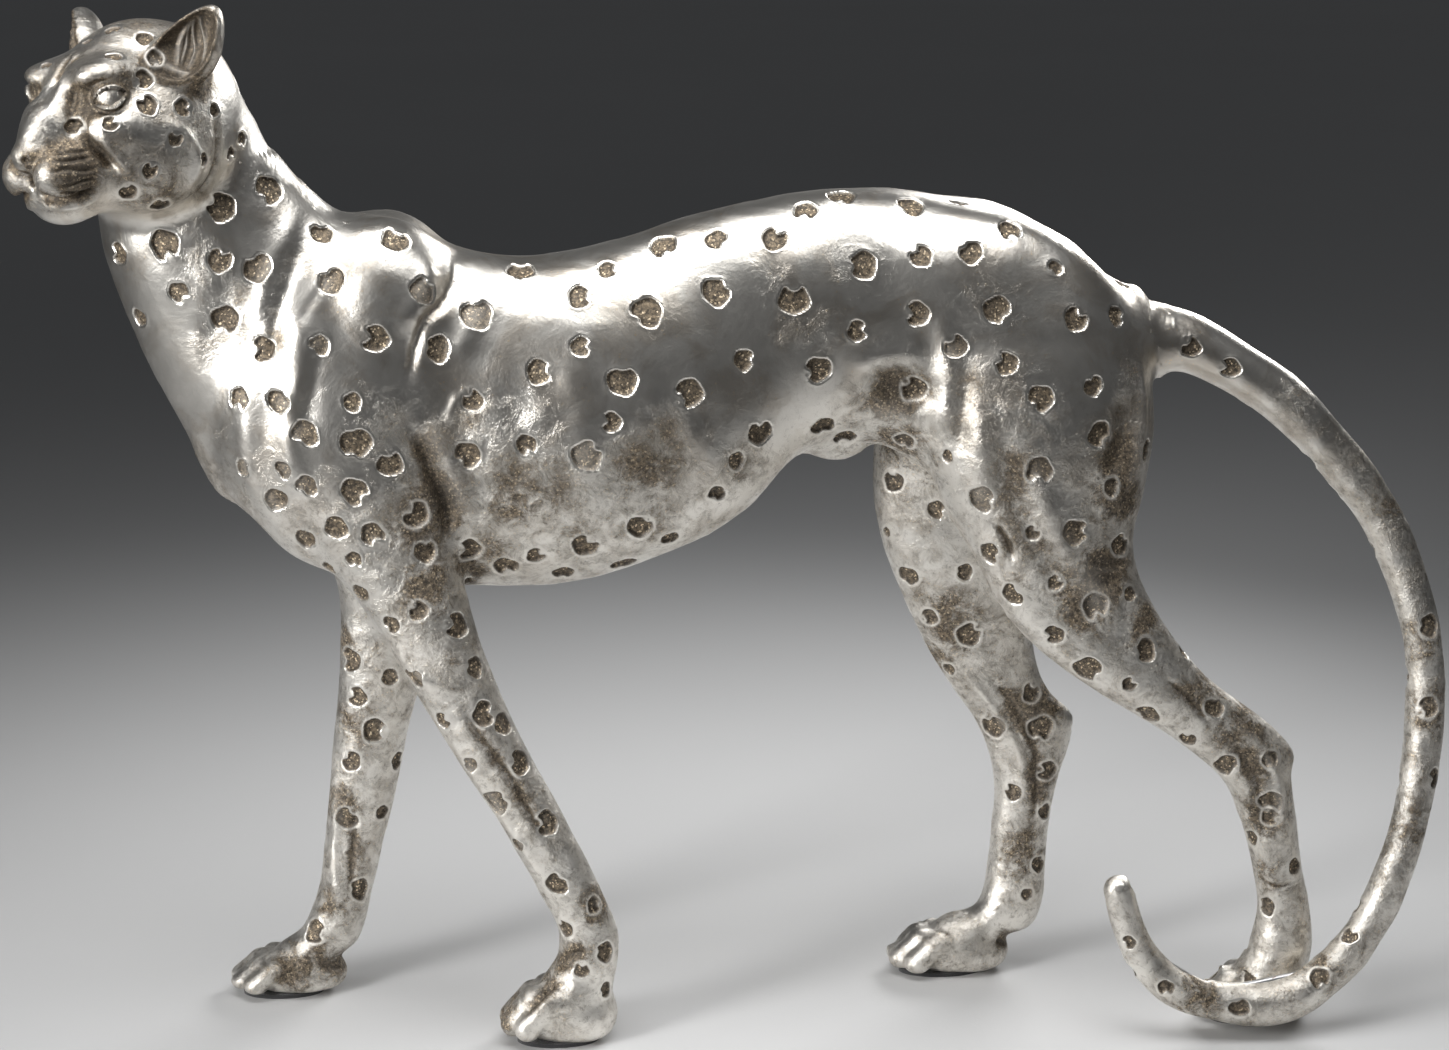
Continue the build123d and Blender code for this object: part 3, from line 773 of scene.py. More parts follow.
RIGHT_STROKES = [
    (2.4, 1.5, [(-157, 112), (-157, 89.5), (-158, 76), (-157.5, 61), (-157, 51)]),
    (1.6, -1.2, [(-150, 104), (-150.5, 88), (-152, 72), (-151, 56)]),
    (1.2, -1.0, [(-166, 36), (-158, 33), (-150, 34)]),
    (2.0, 1.3, [(70, 150), (82, 136), (92, 122), (99, 106), (98, 88)]),
    (1.8, -1.2, [(78, 150), (90, 136), (101, 120), (105, 104), (104, 86), (102, 66)]),
    (1.0, -0.9, [(90, 36), (98, 33), (105, 35)]),
]


def whisker_row(level):
    """One wavy groove round the whisker pad."""
    return [
        (77 - 2.3 * k - 0.5 * k * k, 7.5 + 3.0 * k - 0.22 * k * k, level + 0.6 * sin(2.4 * k + level))
        for k in range(1, 5)
    ]


WHISKER_ROWS = [(0.8, -1.0, whisker_row(level)) for level in (341.5, 338.5, 335.5, 332.5, 329.5)]

# folds of the face, in the head's own frame: half width, height, points ahead, left, height
FACE_STROKES = [
    # edges of the lids, and the folds beyond them
    (0.9, 0.8, lid_line(6.3, 3.6, 1)),
    (0.8, 0.6, lid_line(6.3, 3.4, -1)),
    (0.8, -0.8, lid_line(6.4, 5.1, 1)),
    (0.8, -0.7, lid_line(6.4, 4.9, -1)),
    # tear line
    (1.7, -2.6, [(58.5, 14, 357), (60, 15, 350), (59, 18, 343), (56, 22, 336), (54, 24, 332)]),
    # its rear edge
    (1.6, 1.4, [(57, 18, 351), (56, 21, 343), (53, 24, 336), (50, 26, 330)]),
    # beside the bridge
    (1.8, -1.7, [(57, 9.5, 366), (60, 9, 360), (62, 9.5, 353), (61, 12, 346)]),
    # ridge of the nose
    (2.2, 1.0, [(58, 3.5, 368), (64, 4, 358), (69, 4, 350)]),
    # down the forehead
    (1.4, -1.1, [(50, 3, 377), (57, 0.5, 368), (60, 0, 362)]),
    # under the nose
    (0.8, -0.9, [(78, 0, 337.5), (79, 0, 333), (77.5, 0, 328)]),
    # lips
    (1.3, -2.6, [(77, 0, 327.5), (75, 7, 326), (70, 13, 325.5), (64, 17.5, 327), (60, 20, 330)]),
    # lower lip
    (1.3, 0.9, [(74, 0, 323), (72, 8, 322), (67, 13, 321.5), (61, 17, 323), (57, 21, 327)]),
    *WHISKER_ROWS,
    # nostril
    (1.1, -1.6, [(78.5, 5.5, 341.5), (80, 4, 340), (79, 6.5, 339)]),
    # wing of the nose
    (1.6, -0.9, [(74, 7.5, 345.5), (70, 10, 343), (69, 12, 338)]),
    # edge of the cheek
    (2.4, 1.1, [(40, 30, 352), (30, 32, 343), (26, 31, 332), (30, 27, 322)]),
    # behind the cheek
    (2.0, -1.2, [(18, 31, 356), (16, 32, 345), (16, 30, 334), (20, 26, 324), (30, 21, 317)]),
    # between the eye and the ear
    (1.0, -0.9, [(38, 24, 370), (32, 28, 367), (26, 30, 363)]),
    (1.0, -0.8, [(40, 21, 374), (33, 26, 371), (27, 29, 367)]),
    (1.2, 0.8, [(36, 23, 373), (30, 28, 369), (24, 31, 364)]),
]
EAR_STROKES = [
    (0.7, 0.9, [(27, 22 + 2.6 * i, 364 + 1.5 * i), (24.5, 24 + 2.2 * i, 374 + i), (22, 26 + 2.0 * i, 384)])
    for i in range(5)
]


def sights(field, places):
    """Where the camera's lines of sight through points of the flank plane first meet a surface."""
    places = np.array(places, float)
    through = np.column_stack([places[:, 0], np.full(len(places), FLANK_PLANE), places[:, 1]])
    lines = through - CAMERA_PLACE
    lines /= lines[:, 1:2]
    steps = np.arange(*SIGHT_REACH, SIGHT_STEP)
    samples = through[:, None, :] + steps[None, :, None] * lines[:, None, :]
    inside = field(samples.reshape(-1, 3)).reshape(len(places), -1) < 0
    hit = inside.any(1)
    first = inside.argmax(1)
    found, normals = settle(field, samples[np.arange(len(places)), first], 4)
    return found, normals, hit


LEFT_FIELD = field_of(LEFT_SHAPES)
RIGHT_FIELD = field_of(RIGHT_SHAPES)
TAIL_FIELD = field_of([TAIL_WHOLE])
HEAD_FIELD = field_of(BODY_SHAPES)
SIGHT = (AIM - CAMERA_PLACE) / CAMERA_DISTANCE
ACROSS = np.cross(SIGHT, (0, 0, 1))
ACROSS /= np.linalg.norm(ACROSS)


def spots_on(field, rows):
    """Spots of one list: centre, normal, width, notch direction."""
    rows = np.array(rows, float)
    centres, normals, hit = sights(field, rows[:, :2])
    return [
        (centre, normal, row[2], row[3])
        for centre, normal, row, ok in zip(centres, normals, rows, hit)
        if ok
    ]


def seen_spots():
    """Every spot in the lists above, and those of the face again on its far side."""
    found = spots_on(LEFT_FIELD, SHOULDER_SPOTS + FLANK_SPOTS + HAUNCH_SPOTS + LEFT_LEG_SPOTS)
    found += spots_on(RIGHT_FIELD, RIGHT_LEG_SPOTS)
    found += spots_on(TAIL_FIELD, TAIL_SPOTS)
    near = spots_on(HEAD_FIELD, HEAD_SPOTS)
    mirrored = np.array([centre for centre, _, _, _ in near])
    q = to_head(mirrored)
    cheeks = np.flatnonzero((q[:, 1] > 4) & (q[:, 0] > 0))
    other, normals = settle(HEAD_FIELD, from_head(q[cheeks] * (1, -1, 1)), 4)
    far = [(other[i], normals[i], near[k][2], 180 - near[k][3]) for i, k in enumerate(cheeks)]
    return found + near + far


def scattered_spots(seen, points, normals):
    """Spots of the sides that the photo doesn't show, thrown at random but never too close."""
    rng = np.random.default_rng(7)
    away = (normals @ SIGHT > 0.12) & (points[:, 2] > SOLE + 9)
    q = to_head(points)
    away &= ~((q[:, 0] > 8) & (points[:, 2] > 312) & (points[:, 0] < -170))
    order = rng.permutation(np.flatnonzero(away))
    points, normals = points[order], normals[order]
    slim = (points[:, 2] < 165) | (points[:, 0] > 152)
    small = slim | (points[:, 2] > 325)
    gap = np.where(slim, 14.5, np.where(small, 13.0, 20.0))
    free = np.ones(len(points), bool)
    for centre, _, _, _ in seen:
        free &= np.linalg.norm(points - centre, axis=1) > gap * 0.9
    spots = []
    while free.any():
        i = free.argmax()
        width = rng.uniform(6.0, 9.5) if small[i] else rng.uniform(8.0, 11.0)
        notch = PLAIN if rng.random() < 0.15 else rng.uniform(0, 360)
        spots.append((points[i], normals[i], width, notch))
        free &= np.linalg.norm(points - points[i], axis=1) > gap
    return spots


def dense_line(points, step=1.0):
    """A smooth line through a few points."""
    points = np.array(points, float)
    if len(points) < 3:
        points = np.insert(points, 1, points.mean(0), axis=0)
    return dense_path(points, step)


def strokes_on(field, rows):
    """Strokes of one list laid on a surface: line, half width, height."""
    found = []
    for half_width, height, places in rows:
        line, _, hit = sights(field, dense_line([(x, z, 0) for x, z in places])[:, :2])
        if hit.sum() > 2:
            found.append((line[hit], half_width, height))
    return found


def face_strokes(rows):
    """Strokes of the face on both sides of the head."""
    found = []
    for half_width, height, places in rows:
        line = dense_line(places, 0.6)
        for side in (1, -1):
            laid, _ = settle(HEAD_FIELD, from_head(line * (1, side, 1)), 4)
            found.append((laid, half_width, height))
    return found


def all_stains():
    """Centres, reach and strength of the brown patina; the far side has the same as the near one."""
    found = []
    for field, rows in ((LEFT_FIELD, LEFT_STAINS), (RIGHT_FIELD, RIGHT_STAINS), (TAIL_FIELD, TAIL_STAINS)):
        rows = np.array(rows, float)
        centres, _, hit = sights(field, rows[:, :2])
        for centre, (_, _, reach, strength), ok in zip(centres, rows, hit):
            if ok:
                found.append((centre, reach, strength))
    mirrored = [(centre * (1, -1, 1), *rest) for centre, *rest in found if centre[0] < TAIL_START_X]
    found += mirrored
    for *place, reach, strength in FACE_STAINS:
        for side in (1, -1):
            found.append((from_head(np.array(place) * (1, side, 1)), reach, strength))
    return found


def patina(p, stains):
    """How brown the silver is at each place, 0 to 1."""
    total = np.zeros(len(p))
    for centre, reach, strength in stains:
        near = np.flatnonzero((np.abs(p - centre) < 2.2 * reach).all(1))
        gaps = ((p[near] - centre) ** 2).sum(1)
        total[near] = np.maximum(total[near], strength * np.exp(-gaps / reach**2))
    return total


def all_strokes():
    """Every fold and ridge, laid on the skin."""
    return (
        strokes_on(LEFT_FIELD, BODY_STROKES + LEG_STROKES)
        + strokes_on(RIGHT_FIELD, RIGHT_STROKES)
        + face_strokes(FACE_STROKES + EAR_STROKES)
    )


# ---- relief ----
def smooth_step(low, high, value):
    """0 below low, 1 above high, and a smooth rise between."""
    t = np.clip((value - low) / (high - low), 0, 1)
    return t * t * (3 - 2 * t)


def outline(p, spot):
    """Signed distance inside the skin from a spot's wall: a rounded blot with a bite out of it."""
    centre, normal, width, notch = spot
    across = ACROSS - normal * (ACROSS @ normal)
    across /= np.linalg.norm(across) + 1e-9
    up = np.cross(across, normal) * -1.0
    gap = p - centre
    u, v = gap @ across, gap @ up
    radius = width / 2
    turn = radians(max(notch, 0))
    seed = centre[0] * 0.7 + centre[2] * 1.3
    along = u * cos(turn) + v * sin(turn)
    beside = v * cos(turn) - u * sin(turn)
    squash, stretch = 1.06 + 0.1 * sin(3 * seed), 1.0 - 0.06 * sin(seed)
    distance = np.hypot(along * squash, beside * stretch) - radius * 0.95
    if notch >= 0:
        bite_along = along - (0.92 + 0.12 * sin(seed)) * radius
        bite_beside = beside - 0.22 * sin(2 * seed) * radius
        bite = np.hypot(bite_along, bite_beside) - (0.44 + 0.08 * cos(seed)) * radius
        distance = carve(distance, bite, 0.22 * radius)
    angle = np.arctan2(v, u)
    distance += radius * (0.05 * np.sin(3 * angle + seed) + 0.035 * np.sin(5 * angle + 2 * seed))
    return distance + 0.25 * np.abs(gap @ normal)


def line_distance(p, line):
    """Distance to a line, and how far along it the nearest place is."""
    best = np.full(len(p), FAR)
    place = np.zeros(len(p))
    for begin in range(0, len(p), CHUNK):
        part = slice(begin, begin + CHUNK)
        nearest = ((p[part][:, None, :] - line[None]) ** 2).sum(2).argmin(1)
        for shift in (0, -1):
            index = np.clip(nearest + shift, 0, len(line) - 2)
            start = line[index]
            along = line[index + 1] - start
            t = np.clip(((p[part] - start) * along).sum(1) / ((along**2).sum(1) + 1e-9), 0, 1)
            gap = np.linalg.norm(p[part] - start - t[:, None] * along, axis=1)
            place[part] = np.where(gap < best[part], (index + t) / (len(line) - 1), place[part])
            best[part] = np.minimum(best[part], gap)
    return best, place


def near_line(p, line, reach):
    """Indices of the points inside a line's box, widened by a reach."""
    return np.flatnonzero(((p > line.min(0) - reach) & (p < line.max(0) + reach)).all(1))


def near_spot(p, spot, reach):
    """Indices of the points that a spot can touch."""
    reach += spot[2] / 2
    return np.flatnonzero((np.abs(p - spot[0]) < reach).all(1))


def grain_at(p, spots, strokes, voxel, finest):
    """How long the mesh edges may be at each place."""
    grain = np.full(len(p), voxel * PLAIN_EDGE)
    for spot in spots:
        near = near_spot(p, spot, 2.0)
        distance = np.abs(outline(p[near], spot) - 0.1)
        grain[near] = np.minimum(grain[near], finest + 0.9 * np.maximum(distance - 0.6, 0))
    for line, half_width, height in strokes:
        fine = np.clip(half_width * 0.55, finest, voxel * PLAIN_EDGE)
        if fine < voxel * 2:
            near = near_line(p, line, 2 * half_width)
            distance, _ = line_distance(p[near], line)
            grain[near] = np.minimum(grain[near], fine + 0.8 * np.maximum(distance - 1.5 * half_width, 0))
    return grain


def relief(p, normals, spots, strokes):
    """Height of the folds and pressed spots, and masks of floors, rims, and of grooves and hollows darkened
    with patina and painted shade, for the finish.
    """
    height, floor, rim, crease_patina_and_shade = np.zeros((4, len(p)))
    # painted shade inside the ear's hollow
    q = to_head(p)
    q[:, 1] = np.abs(q[:, 1])
    near_ear = np.flatnonzero((q[:, 2] > EAR_FOOT) & (q[:, 0] > 0))
    crease_patina_and_shade[near_ear] = 0.9 * (1 - smooth_step(0.0, 2.2, ear(q[near_ear])[1]))
    for line, half_width, amount in strokes:
        near = near_line(p, line, 3 * half_width)
        distance, place = line_distance(p[near], line)
        fade = smooth_step(0, 0.3, np.minimum(place, 1 - place))
        profile = np.exp(-((distance / half_width) ** 2)) * fade
        height[near] += amount * profile
        # a groove darkens the crease mask along it: brown patina and painted shade
        if amount < 0:
            narrow = min(1.0, 1.5 / half_width) ** 2
            wide = 0.4 * np.exp(-((distance / (2.2 * half_width)) ** 2)) * fade
            dark = np.maximum(wide, profile**2 * narrow) * min(1.0, -amount * 0.8)
            crease_patina_and_shade[near] = np.maximum(crease_patina_and_shade[near], dark)
        else:
            rim[near] = np.maximum(rim[near], 0.35 * profile)
    for spot in spots:
        near = near_spot(p, spot, 3.0)
        near = near[normals[near] @ spot[1] > 0.1]
        distance = outline(p[near], spot)
        inside = 1 - smooth_step(-SPOT_WALL, SPOT_WALL * 0.6, distance)
        edge = np.exp(-(((distance - 0.7) / RIM_WIDTH) ** 2))
        # painted shade along the foot of the spot's wall, just inside it
        foot = np.exp(-(((distance + 0.5) / 0.5) ** 2))
        depth = SPOT_DEPTH * min(1.0, 0.45 + spot[2] / 18)
        height[near] += RIM_HEIGHT * edge - depth * inside
        floor[near] = np.maximum(floor[near], inside)
        rim[near] = np.maximum(rim[near], edge)
        crease_patina_and_shade[near] = np.maximum(crease_patina_and_shade[near], foot)
    return height, floor, rim, crease_patina_and_shade


# ---- castings ----
MASKS = ("floor", "rim", "crease_patina_and_shade", "pale", "brown")
HOLLOW_REACH = 7.0       # how far off the skin its hollows are felt
HOLLOW_RANGE = (0.12, 0.9)
HOLLOW_SHADE = 0.9
MARK_MARGIN = 12         # marks this far outside a casting's box still count for it
TAIL_FLESH_Z = 215       # the legs are part of the tail casting above this height only
SIDE_MARGIN = 9          # room left round a leg in its box,
SEAM_MARGIN = 8          # and above its seam
SEAM_TURN = radians(NECK_SEAM[2])
NECK_PLANE = ((NECK_SEAM[0], 0, NECK_SEAM[1]), (-sin(SEAM_TURN), 0, cos(SEAM_TURN)))
TAIL_PLANE = ((TAIL_SEAM_X, 0, 0), (1, 0, 0))
FORE_PLANE = ((0, 0, FORE_SEAM), (0, 0, 1))
HIND_PLANE = ((0, 0, HIND_SEAM), (0, 0, 1))
SEAM_SNAP = 0.14         # points this near to a seam are moved onto it
LEG_SPLIT_X = 0.0        # forelegs are ahead of it, hind legs behind
TAIL_SPLIT_Z = 150.0     # the tail's root is above it, its curled end below


def raised(solid, level):
    """The part of a solid above a level."""
    low, high, softness, distance = solid
    return shape((low[0], low[1], level), high, softness, distance)


# name: solids, box, voxel, finest edge, seams as (plane, which side is kept, test for the part it cuts)
CASTINGS = {
    "torso_skin": (
        BODY_SHAPES + LIMB_SHAPES + [TAIL_ROOT], (-245, -62, 163), (154, 62, 346), BODY_VOXEL, BODY_FINE,
        [(NECK_PLANE, -1, None), (TAIL_PLANE, -1, None), (FORE_PLANE, 1, "front"), (HIND_PLANE, 1, "back")],
    ),
    "head_skin": (
        BODY_SHAPES, (-290, -95, 286), (-148, 65, 412), HEAD_VOXEL, HEAD_FINE, [(NECK_PLANE, 1, None)],
    ),
    "tail_skin": (
        BODY_SHAPES + [raised(solid, TAIL_FLESH_Z) for solid in LIMB_SHAPES] + [TAIL_WHOLE],
        (118, -75, -4), (275, 40, 292), LEG_VOXEL, LEG_FINE, [(TAIL_PLANE, 1, "high")],
    ),
}
for name, (side, _, _) in LIMBS.items():
    rows = LIMB_ROWS[name]
    seam, plane = (FORE_SEAM, FORE_PLANE) if "fore" in name else (HIND_SEAM, HIND_PLANE)
    below = rows[rows[:, 0] < seam + 2]
    toe_x, heel_x, _, _ = PAWS[name]
    near_y, far_y = (-62, 4) if side < 0 else (-4, 62)
    CASTINGS[name + "_skin"] = (
        BODY_SHAPES + [limb_shape(name), paw_shape(name)],
        (min((below[:, 1] - below[:, 2]).min(), toe_x) - SIDE_MARGIN, near_y, -4),
        (max((below[:, 1] + below[:, 2]).max(), heel_x) + SIDE_MARGIN, far_y, seam + SEAM_MARGIN),
        LEG_VOXEL,
        LEG_FINE,
        [(plane, -1, None)],
    )


def paleness(points):
    """Where the silver has worn to a chalky white: low on the flanks, down the legs and on the face."""
    x, y, z = points.T
    low = 1 - smooth_step(205, 262, z)
    waist = np.exp(-(((x - 45) / 26) ** 2) - ((z - 232) / 22) ** 2)
    leg = 1 - smooth_step(120, 190, z)
    face = smooth_step(0, 18, to_head(points)[:, 0]) * smooth_step(312, 325, z)
    return np.clip(np.maximum(0.62 * low + 0.5 * waist + 0.1 * leg, 0.45 * face), 0, 1)


def base_meshes():
    """Every casting on the plain field, before any mark."""
    found = {}
    for name, (solids, low, high, voxel, _, _) in CASTINGS.items():
        field = field_of(solids)
        points, triangles = mesh_of(field, low, high, voxel)
        points, normals = settle(field, points)
        found[name] = (field, points, normals, triangles)
    return found


def marked_mesh(name, base, spots, strokes, stains):
    """A casting with its spots and folds."""
    field, points, _, triangles = base
    _, low, high, voxel, fine, _ = CASTINGS[name]
    low, high = np.array(low) - MARK_MARGIN, np.array(high) + MARK_MARGIN
    spots = [spot for spot in spots if ((spot[0] > low) & (spot[0] < high)).all()]
    strokes = [stroke for stroke in strokes if ((stroke[0] > low) & (stroke[0] < high)).all(1).any()]
    for _ in range(3):
        points, triangles = refine(points, triangles, lambda p: grain_at(p, spots, strokes, voxel, fine))
    points, normals = settle(field, points, 1)
    # painted shade where the skin is hollow and another surface is near, like ambient occlusion
    hollow = 1 - field(points + normals * HOLLOW_REACH) / HOLLOW_REACH
    height, floor, rim, crease_patina_and_shade = relief(points, normals, spots, strokes)
    crease_patina_and_shade = np.clip(crease_patina_and_shade + HOLLOW_SHADE * smooth_step(*HOLLOW_RANGE, hollow), 0, 1)
    points = points + normals * height[:, None]
    return points, triangles, (floor, rim, crease_patina_and_shade, paleness(points), patina(points, stains))


def cut_seams(mesh, seams):
    """Trim a casting at its seams and close each cut with a flat face."""
    work = bmesh.new()
    work.from_mesh(mesh)
    for (centre, normal), kept, part in seams:
        verts = work.verts[:]
        if part == "high":
            verts = [v for v in verts if v.co.z > TAIL_SPLIT_Z]
        elif part:
            behind = part == "back"
            verts = [v for v in verts if (v.co.x > LEG_SPLIT_X) == behind]
        chosen = set(verts)
        faces = [f for f in work.faces if all(v in chosen for v in f.verts)]
        edges = {e for f in faces for e in f.edges}
        for v in verts:
            gap = (v.co - Vector(centre)).dot(Vector(normal))
            if abs(gap) < SEAM_SNAP:
                v.co -= Vector(normal) * gap
        bmesh.ops.bisect_plane(
            work, geom=[*chosen, *edges, *faces], dist=1e-3,
            plane_co=centre, plane_no=normal, clear_outer=kept < 0, clear_inner=kept > 0,
        )
    bmesh.ops.delete(work, geom=[e for e in work.edges if not e.link_faces], context="EDGES")
    bmesh.ops.delete(work, geom=[v for v in work.verts if not v.link_faces], context="VERTS")
    rim = [e for e in work.edges if e.is_boundary]
    caps = bmesh.ops.holes_fill(work, edges=rim, sides=0)["faces"]
    for face in work.faces:
        face.smooth = True
    for face in caps:
        face.smooth = False
    bmesh.ops.triangulate(work, faces=caps)
    bmesh.ops.recalc_face_normals(work, faces=caps)
    work.to_mesh(mesh)
    work.free()


def vertex_normals(points, triangles):
    """Normals of the whole skin before it is cut, so that the shading runs on across a seam."""
    a, b, c = points[triangles].transpose(1, 0, 2)
    faces = np.cross(b - a, c - a)
    normals = np.zeros_like(points)
    for corner in triangles.T:
        np.add.at(normals, corner, faces)
    return normals / (np.linalg.norm(normals, axis=1)[:, None] + 1e-12)


def add_casting(name, points, triangles, masks):
    """Put one casting into the scene, in metres."""
    mesh = bpy.data.meshes.new(name)
    mesh.vertices.add(len(points))
    mesh.vertices.foreach_set("co", points.ravel())
    mesh.loops.add(triangles.size)
    mesh.loops.foreach_set("vertex_index", triangles.ravel().astype(np.int32))
    mesh.polygons.add(len(triangles))
    mesh.polygons.foreach_set("loop_start", np.arange(0, triangles.size, 3, dtype=np.int32))
    mesh.polygons.foreach_set("loop_total", np.full(len(triangles), 3, dtype=np.int32))
    for label, values in zip(MASKS, masks):
        layer = mesh.attributes.new(label, "FLOAT", "POINT")
        layer.data.foreach_set("value", values.astype(np.float32))
    lean = mesh.attributes.new("lean", "FLOAT_VECTOR", "POINT")
    lean.data.foreach_set("vector", vertex_normals(points, triangles).astype(np.float32).ravel())
    mesh.update(calc_edges=True)
    mesh.validate()
    cut_seams(mesh, CASTINGS[name][5])
    mesh.validate()
    mesh.transform(Matrix.Translation((0, MIDLINE * MM, 0)) @ Matrix.Scale(MM, 4))
    kept = np.empty(len(mesh.vertices) * 3, np.float32)
    mesh.attributes["lean"].data.foreach_get("vector", kept)
    mesh.normals_split_custom_set_from_vertices(kept.reshape(-1, 3).tolist())
    mesh.attributes.remove(mesh.attributes["lean"])
    piece = bpy.data.objects.new(name, mesh)
    bpy.context.scene.collection.objects.link(piece)
    return piece


# ---- materials ----
class Paint:
    """A procedural material being put together."""

    def __init__(self, name):
        self.material = bpy.data.materials.new(name)
        self.material.use_nodes = True
        self.tree = self.material.node_tree
        self.tree.nodes.clear()
        self.output = self.tree.nodes.new("ShaderNodeOutputMaterial")
        self.surface = self.tree.nodes.new("ShaderNodeBsdfPrincipled")
        self.tree.links.new(self.surface.outputs[0], self.output.inputs["Surface"])
        self.place = self.tree.nodes.new("ShaderNodeTexCoord").outputs["Object"]

    def put(self, socket, value):
        """Set an input, by a link or by a plain value."""
        if isinstance(value, bpy.types.NodeSocket):
            self.tree.links.new(value, socket)
        else:
            socket.default_value = value

    def set(self, **inputs):
        for name, value in inputs.items():
            self.put(self.surface.inputs[name.replace("_", " ")], value)

    def noise(self, size, detail=3.0, roughness=0.55, warp=0.0):
        """Cloudy noise whose blots are about `size` millimetres wide."""
        node = self.tree.nodes.new("ShaderNodeTexNoise")
        self.tree.links.new(self.place, node.inputs["Vector"])
        node.inputs["Scale"].default_value = 1 / (size * MM)
        node.inputs["Detail"].default_value = detail
        node.inputs["Roughness"].default_value = roughness
        node.inputs["Distortion"].default_value = warp
        return node.outputs["Fac"]

    def grains(self, size):
        """Random brightness of small cells."""
        node = self.tree.nodes.new("ShaderNodeTexVoronoi")
        self.tree.links.new(self.place, node.inputs["Vector"])
        node.inputs["Scale"].default_value = 1 / (size * MM)
        return node.outputs["Color"]

    def mask(self, name):
        node = self.tree.nodes.new("ShaderNodeAttribute")
        node.attribute_name = name
        return node.outputs["Fac"]

    def math(self, operation, first, second=0.0, third=0.0):
        node = self.tree.nodes.new("ShaderNodeMath")
        node.operation = operation
        for socket, value in zip(node.inputs, (first, second, third)):
            self.put(socket, value)
        return node.outputs[0]

    def total(self, *terms):
        """Sum of (value, weight) pairs."""
        result = self.math("MULTIPLY", *terms[0])
        for value, weight in terms[1:]:
            result = self.math("MULTIPLY_ADD", value, weight, result)
        return result

    def span(self, value, low, high, to_low=0.0, to_high=1.0):
        node = self.tree.nodes.new("ShaderNodeMapRange")
        node.interpolation_type = "SMOOTHSTEP"
        for socket, given in zip(node.inputs, (value, low, high, to_low, to_high)):
            self.put(socket, given)
        return node.outputs[0]

    def mix(self, share, first, second):
        node = self.tree.nodes.new("ShaderNodeMix")
        node.data_type = "RGBA"
        self.put(node.inputs[0], share)
        self.put(node.inputs[6], first)
        self.put(node.inputs[7], second)
        return node.outputs[2]

    def bumps(self, *layers):
        """Fine relief from (height, depth in millimetres) pairs."""
        normal = None
        for height, depth in layers:
            node = self.tree.nodes.new("ShaderNodeBump")
            node.inputs["Strength"].default_value = 1.0
            node.inputs["Distance"].default_value = depth * MM
            self.tree.links.new(height, node.inputs["Height"])
            if normal:
                self.tree.links.new(normal, node.inputs["Normal"])
            normal = node.outputs[0]
        self.tree.links.new(normal, self.surface.inputs["Normal"])


SILVER = (0.90, 0.865, 0.80, 1)
TARNISH = (0.30, 0.27, 0.23, 1)
BRONZE = (0.52, 0.43, 0.33, 1)
UMBER = (0.035, 0.026, 0.018, 1)
SAND = (0.30, 0.23, 0.15, 1)
GOLD = (0.95, 0.78, 0.55, 1)
CHALK = (0.90, 0.875, 0.82, 1)


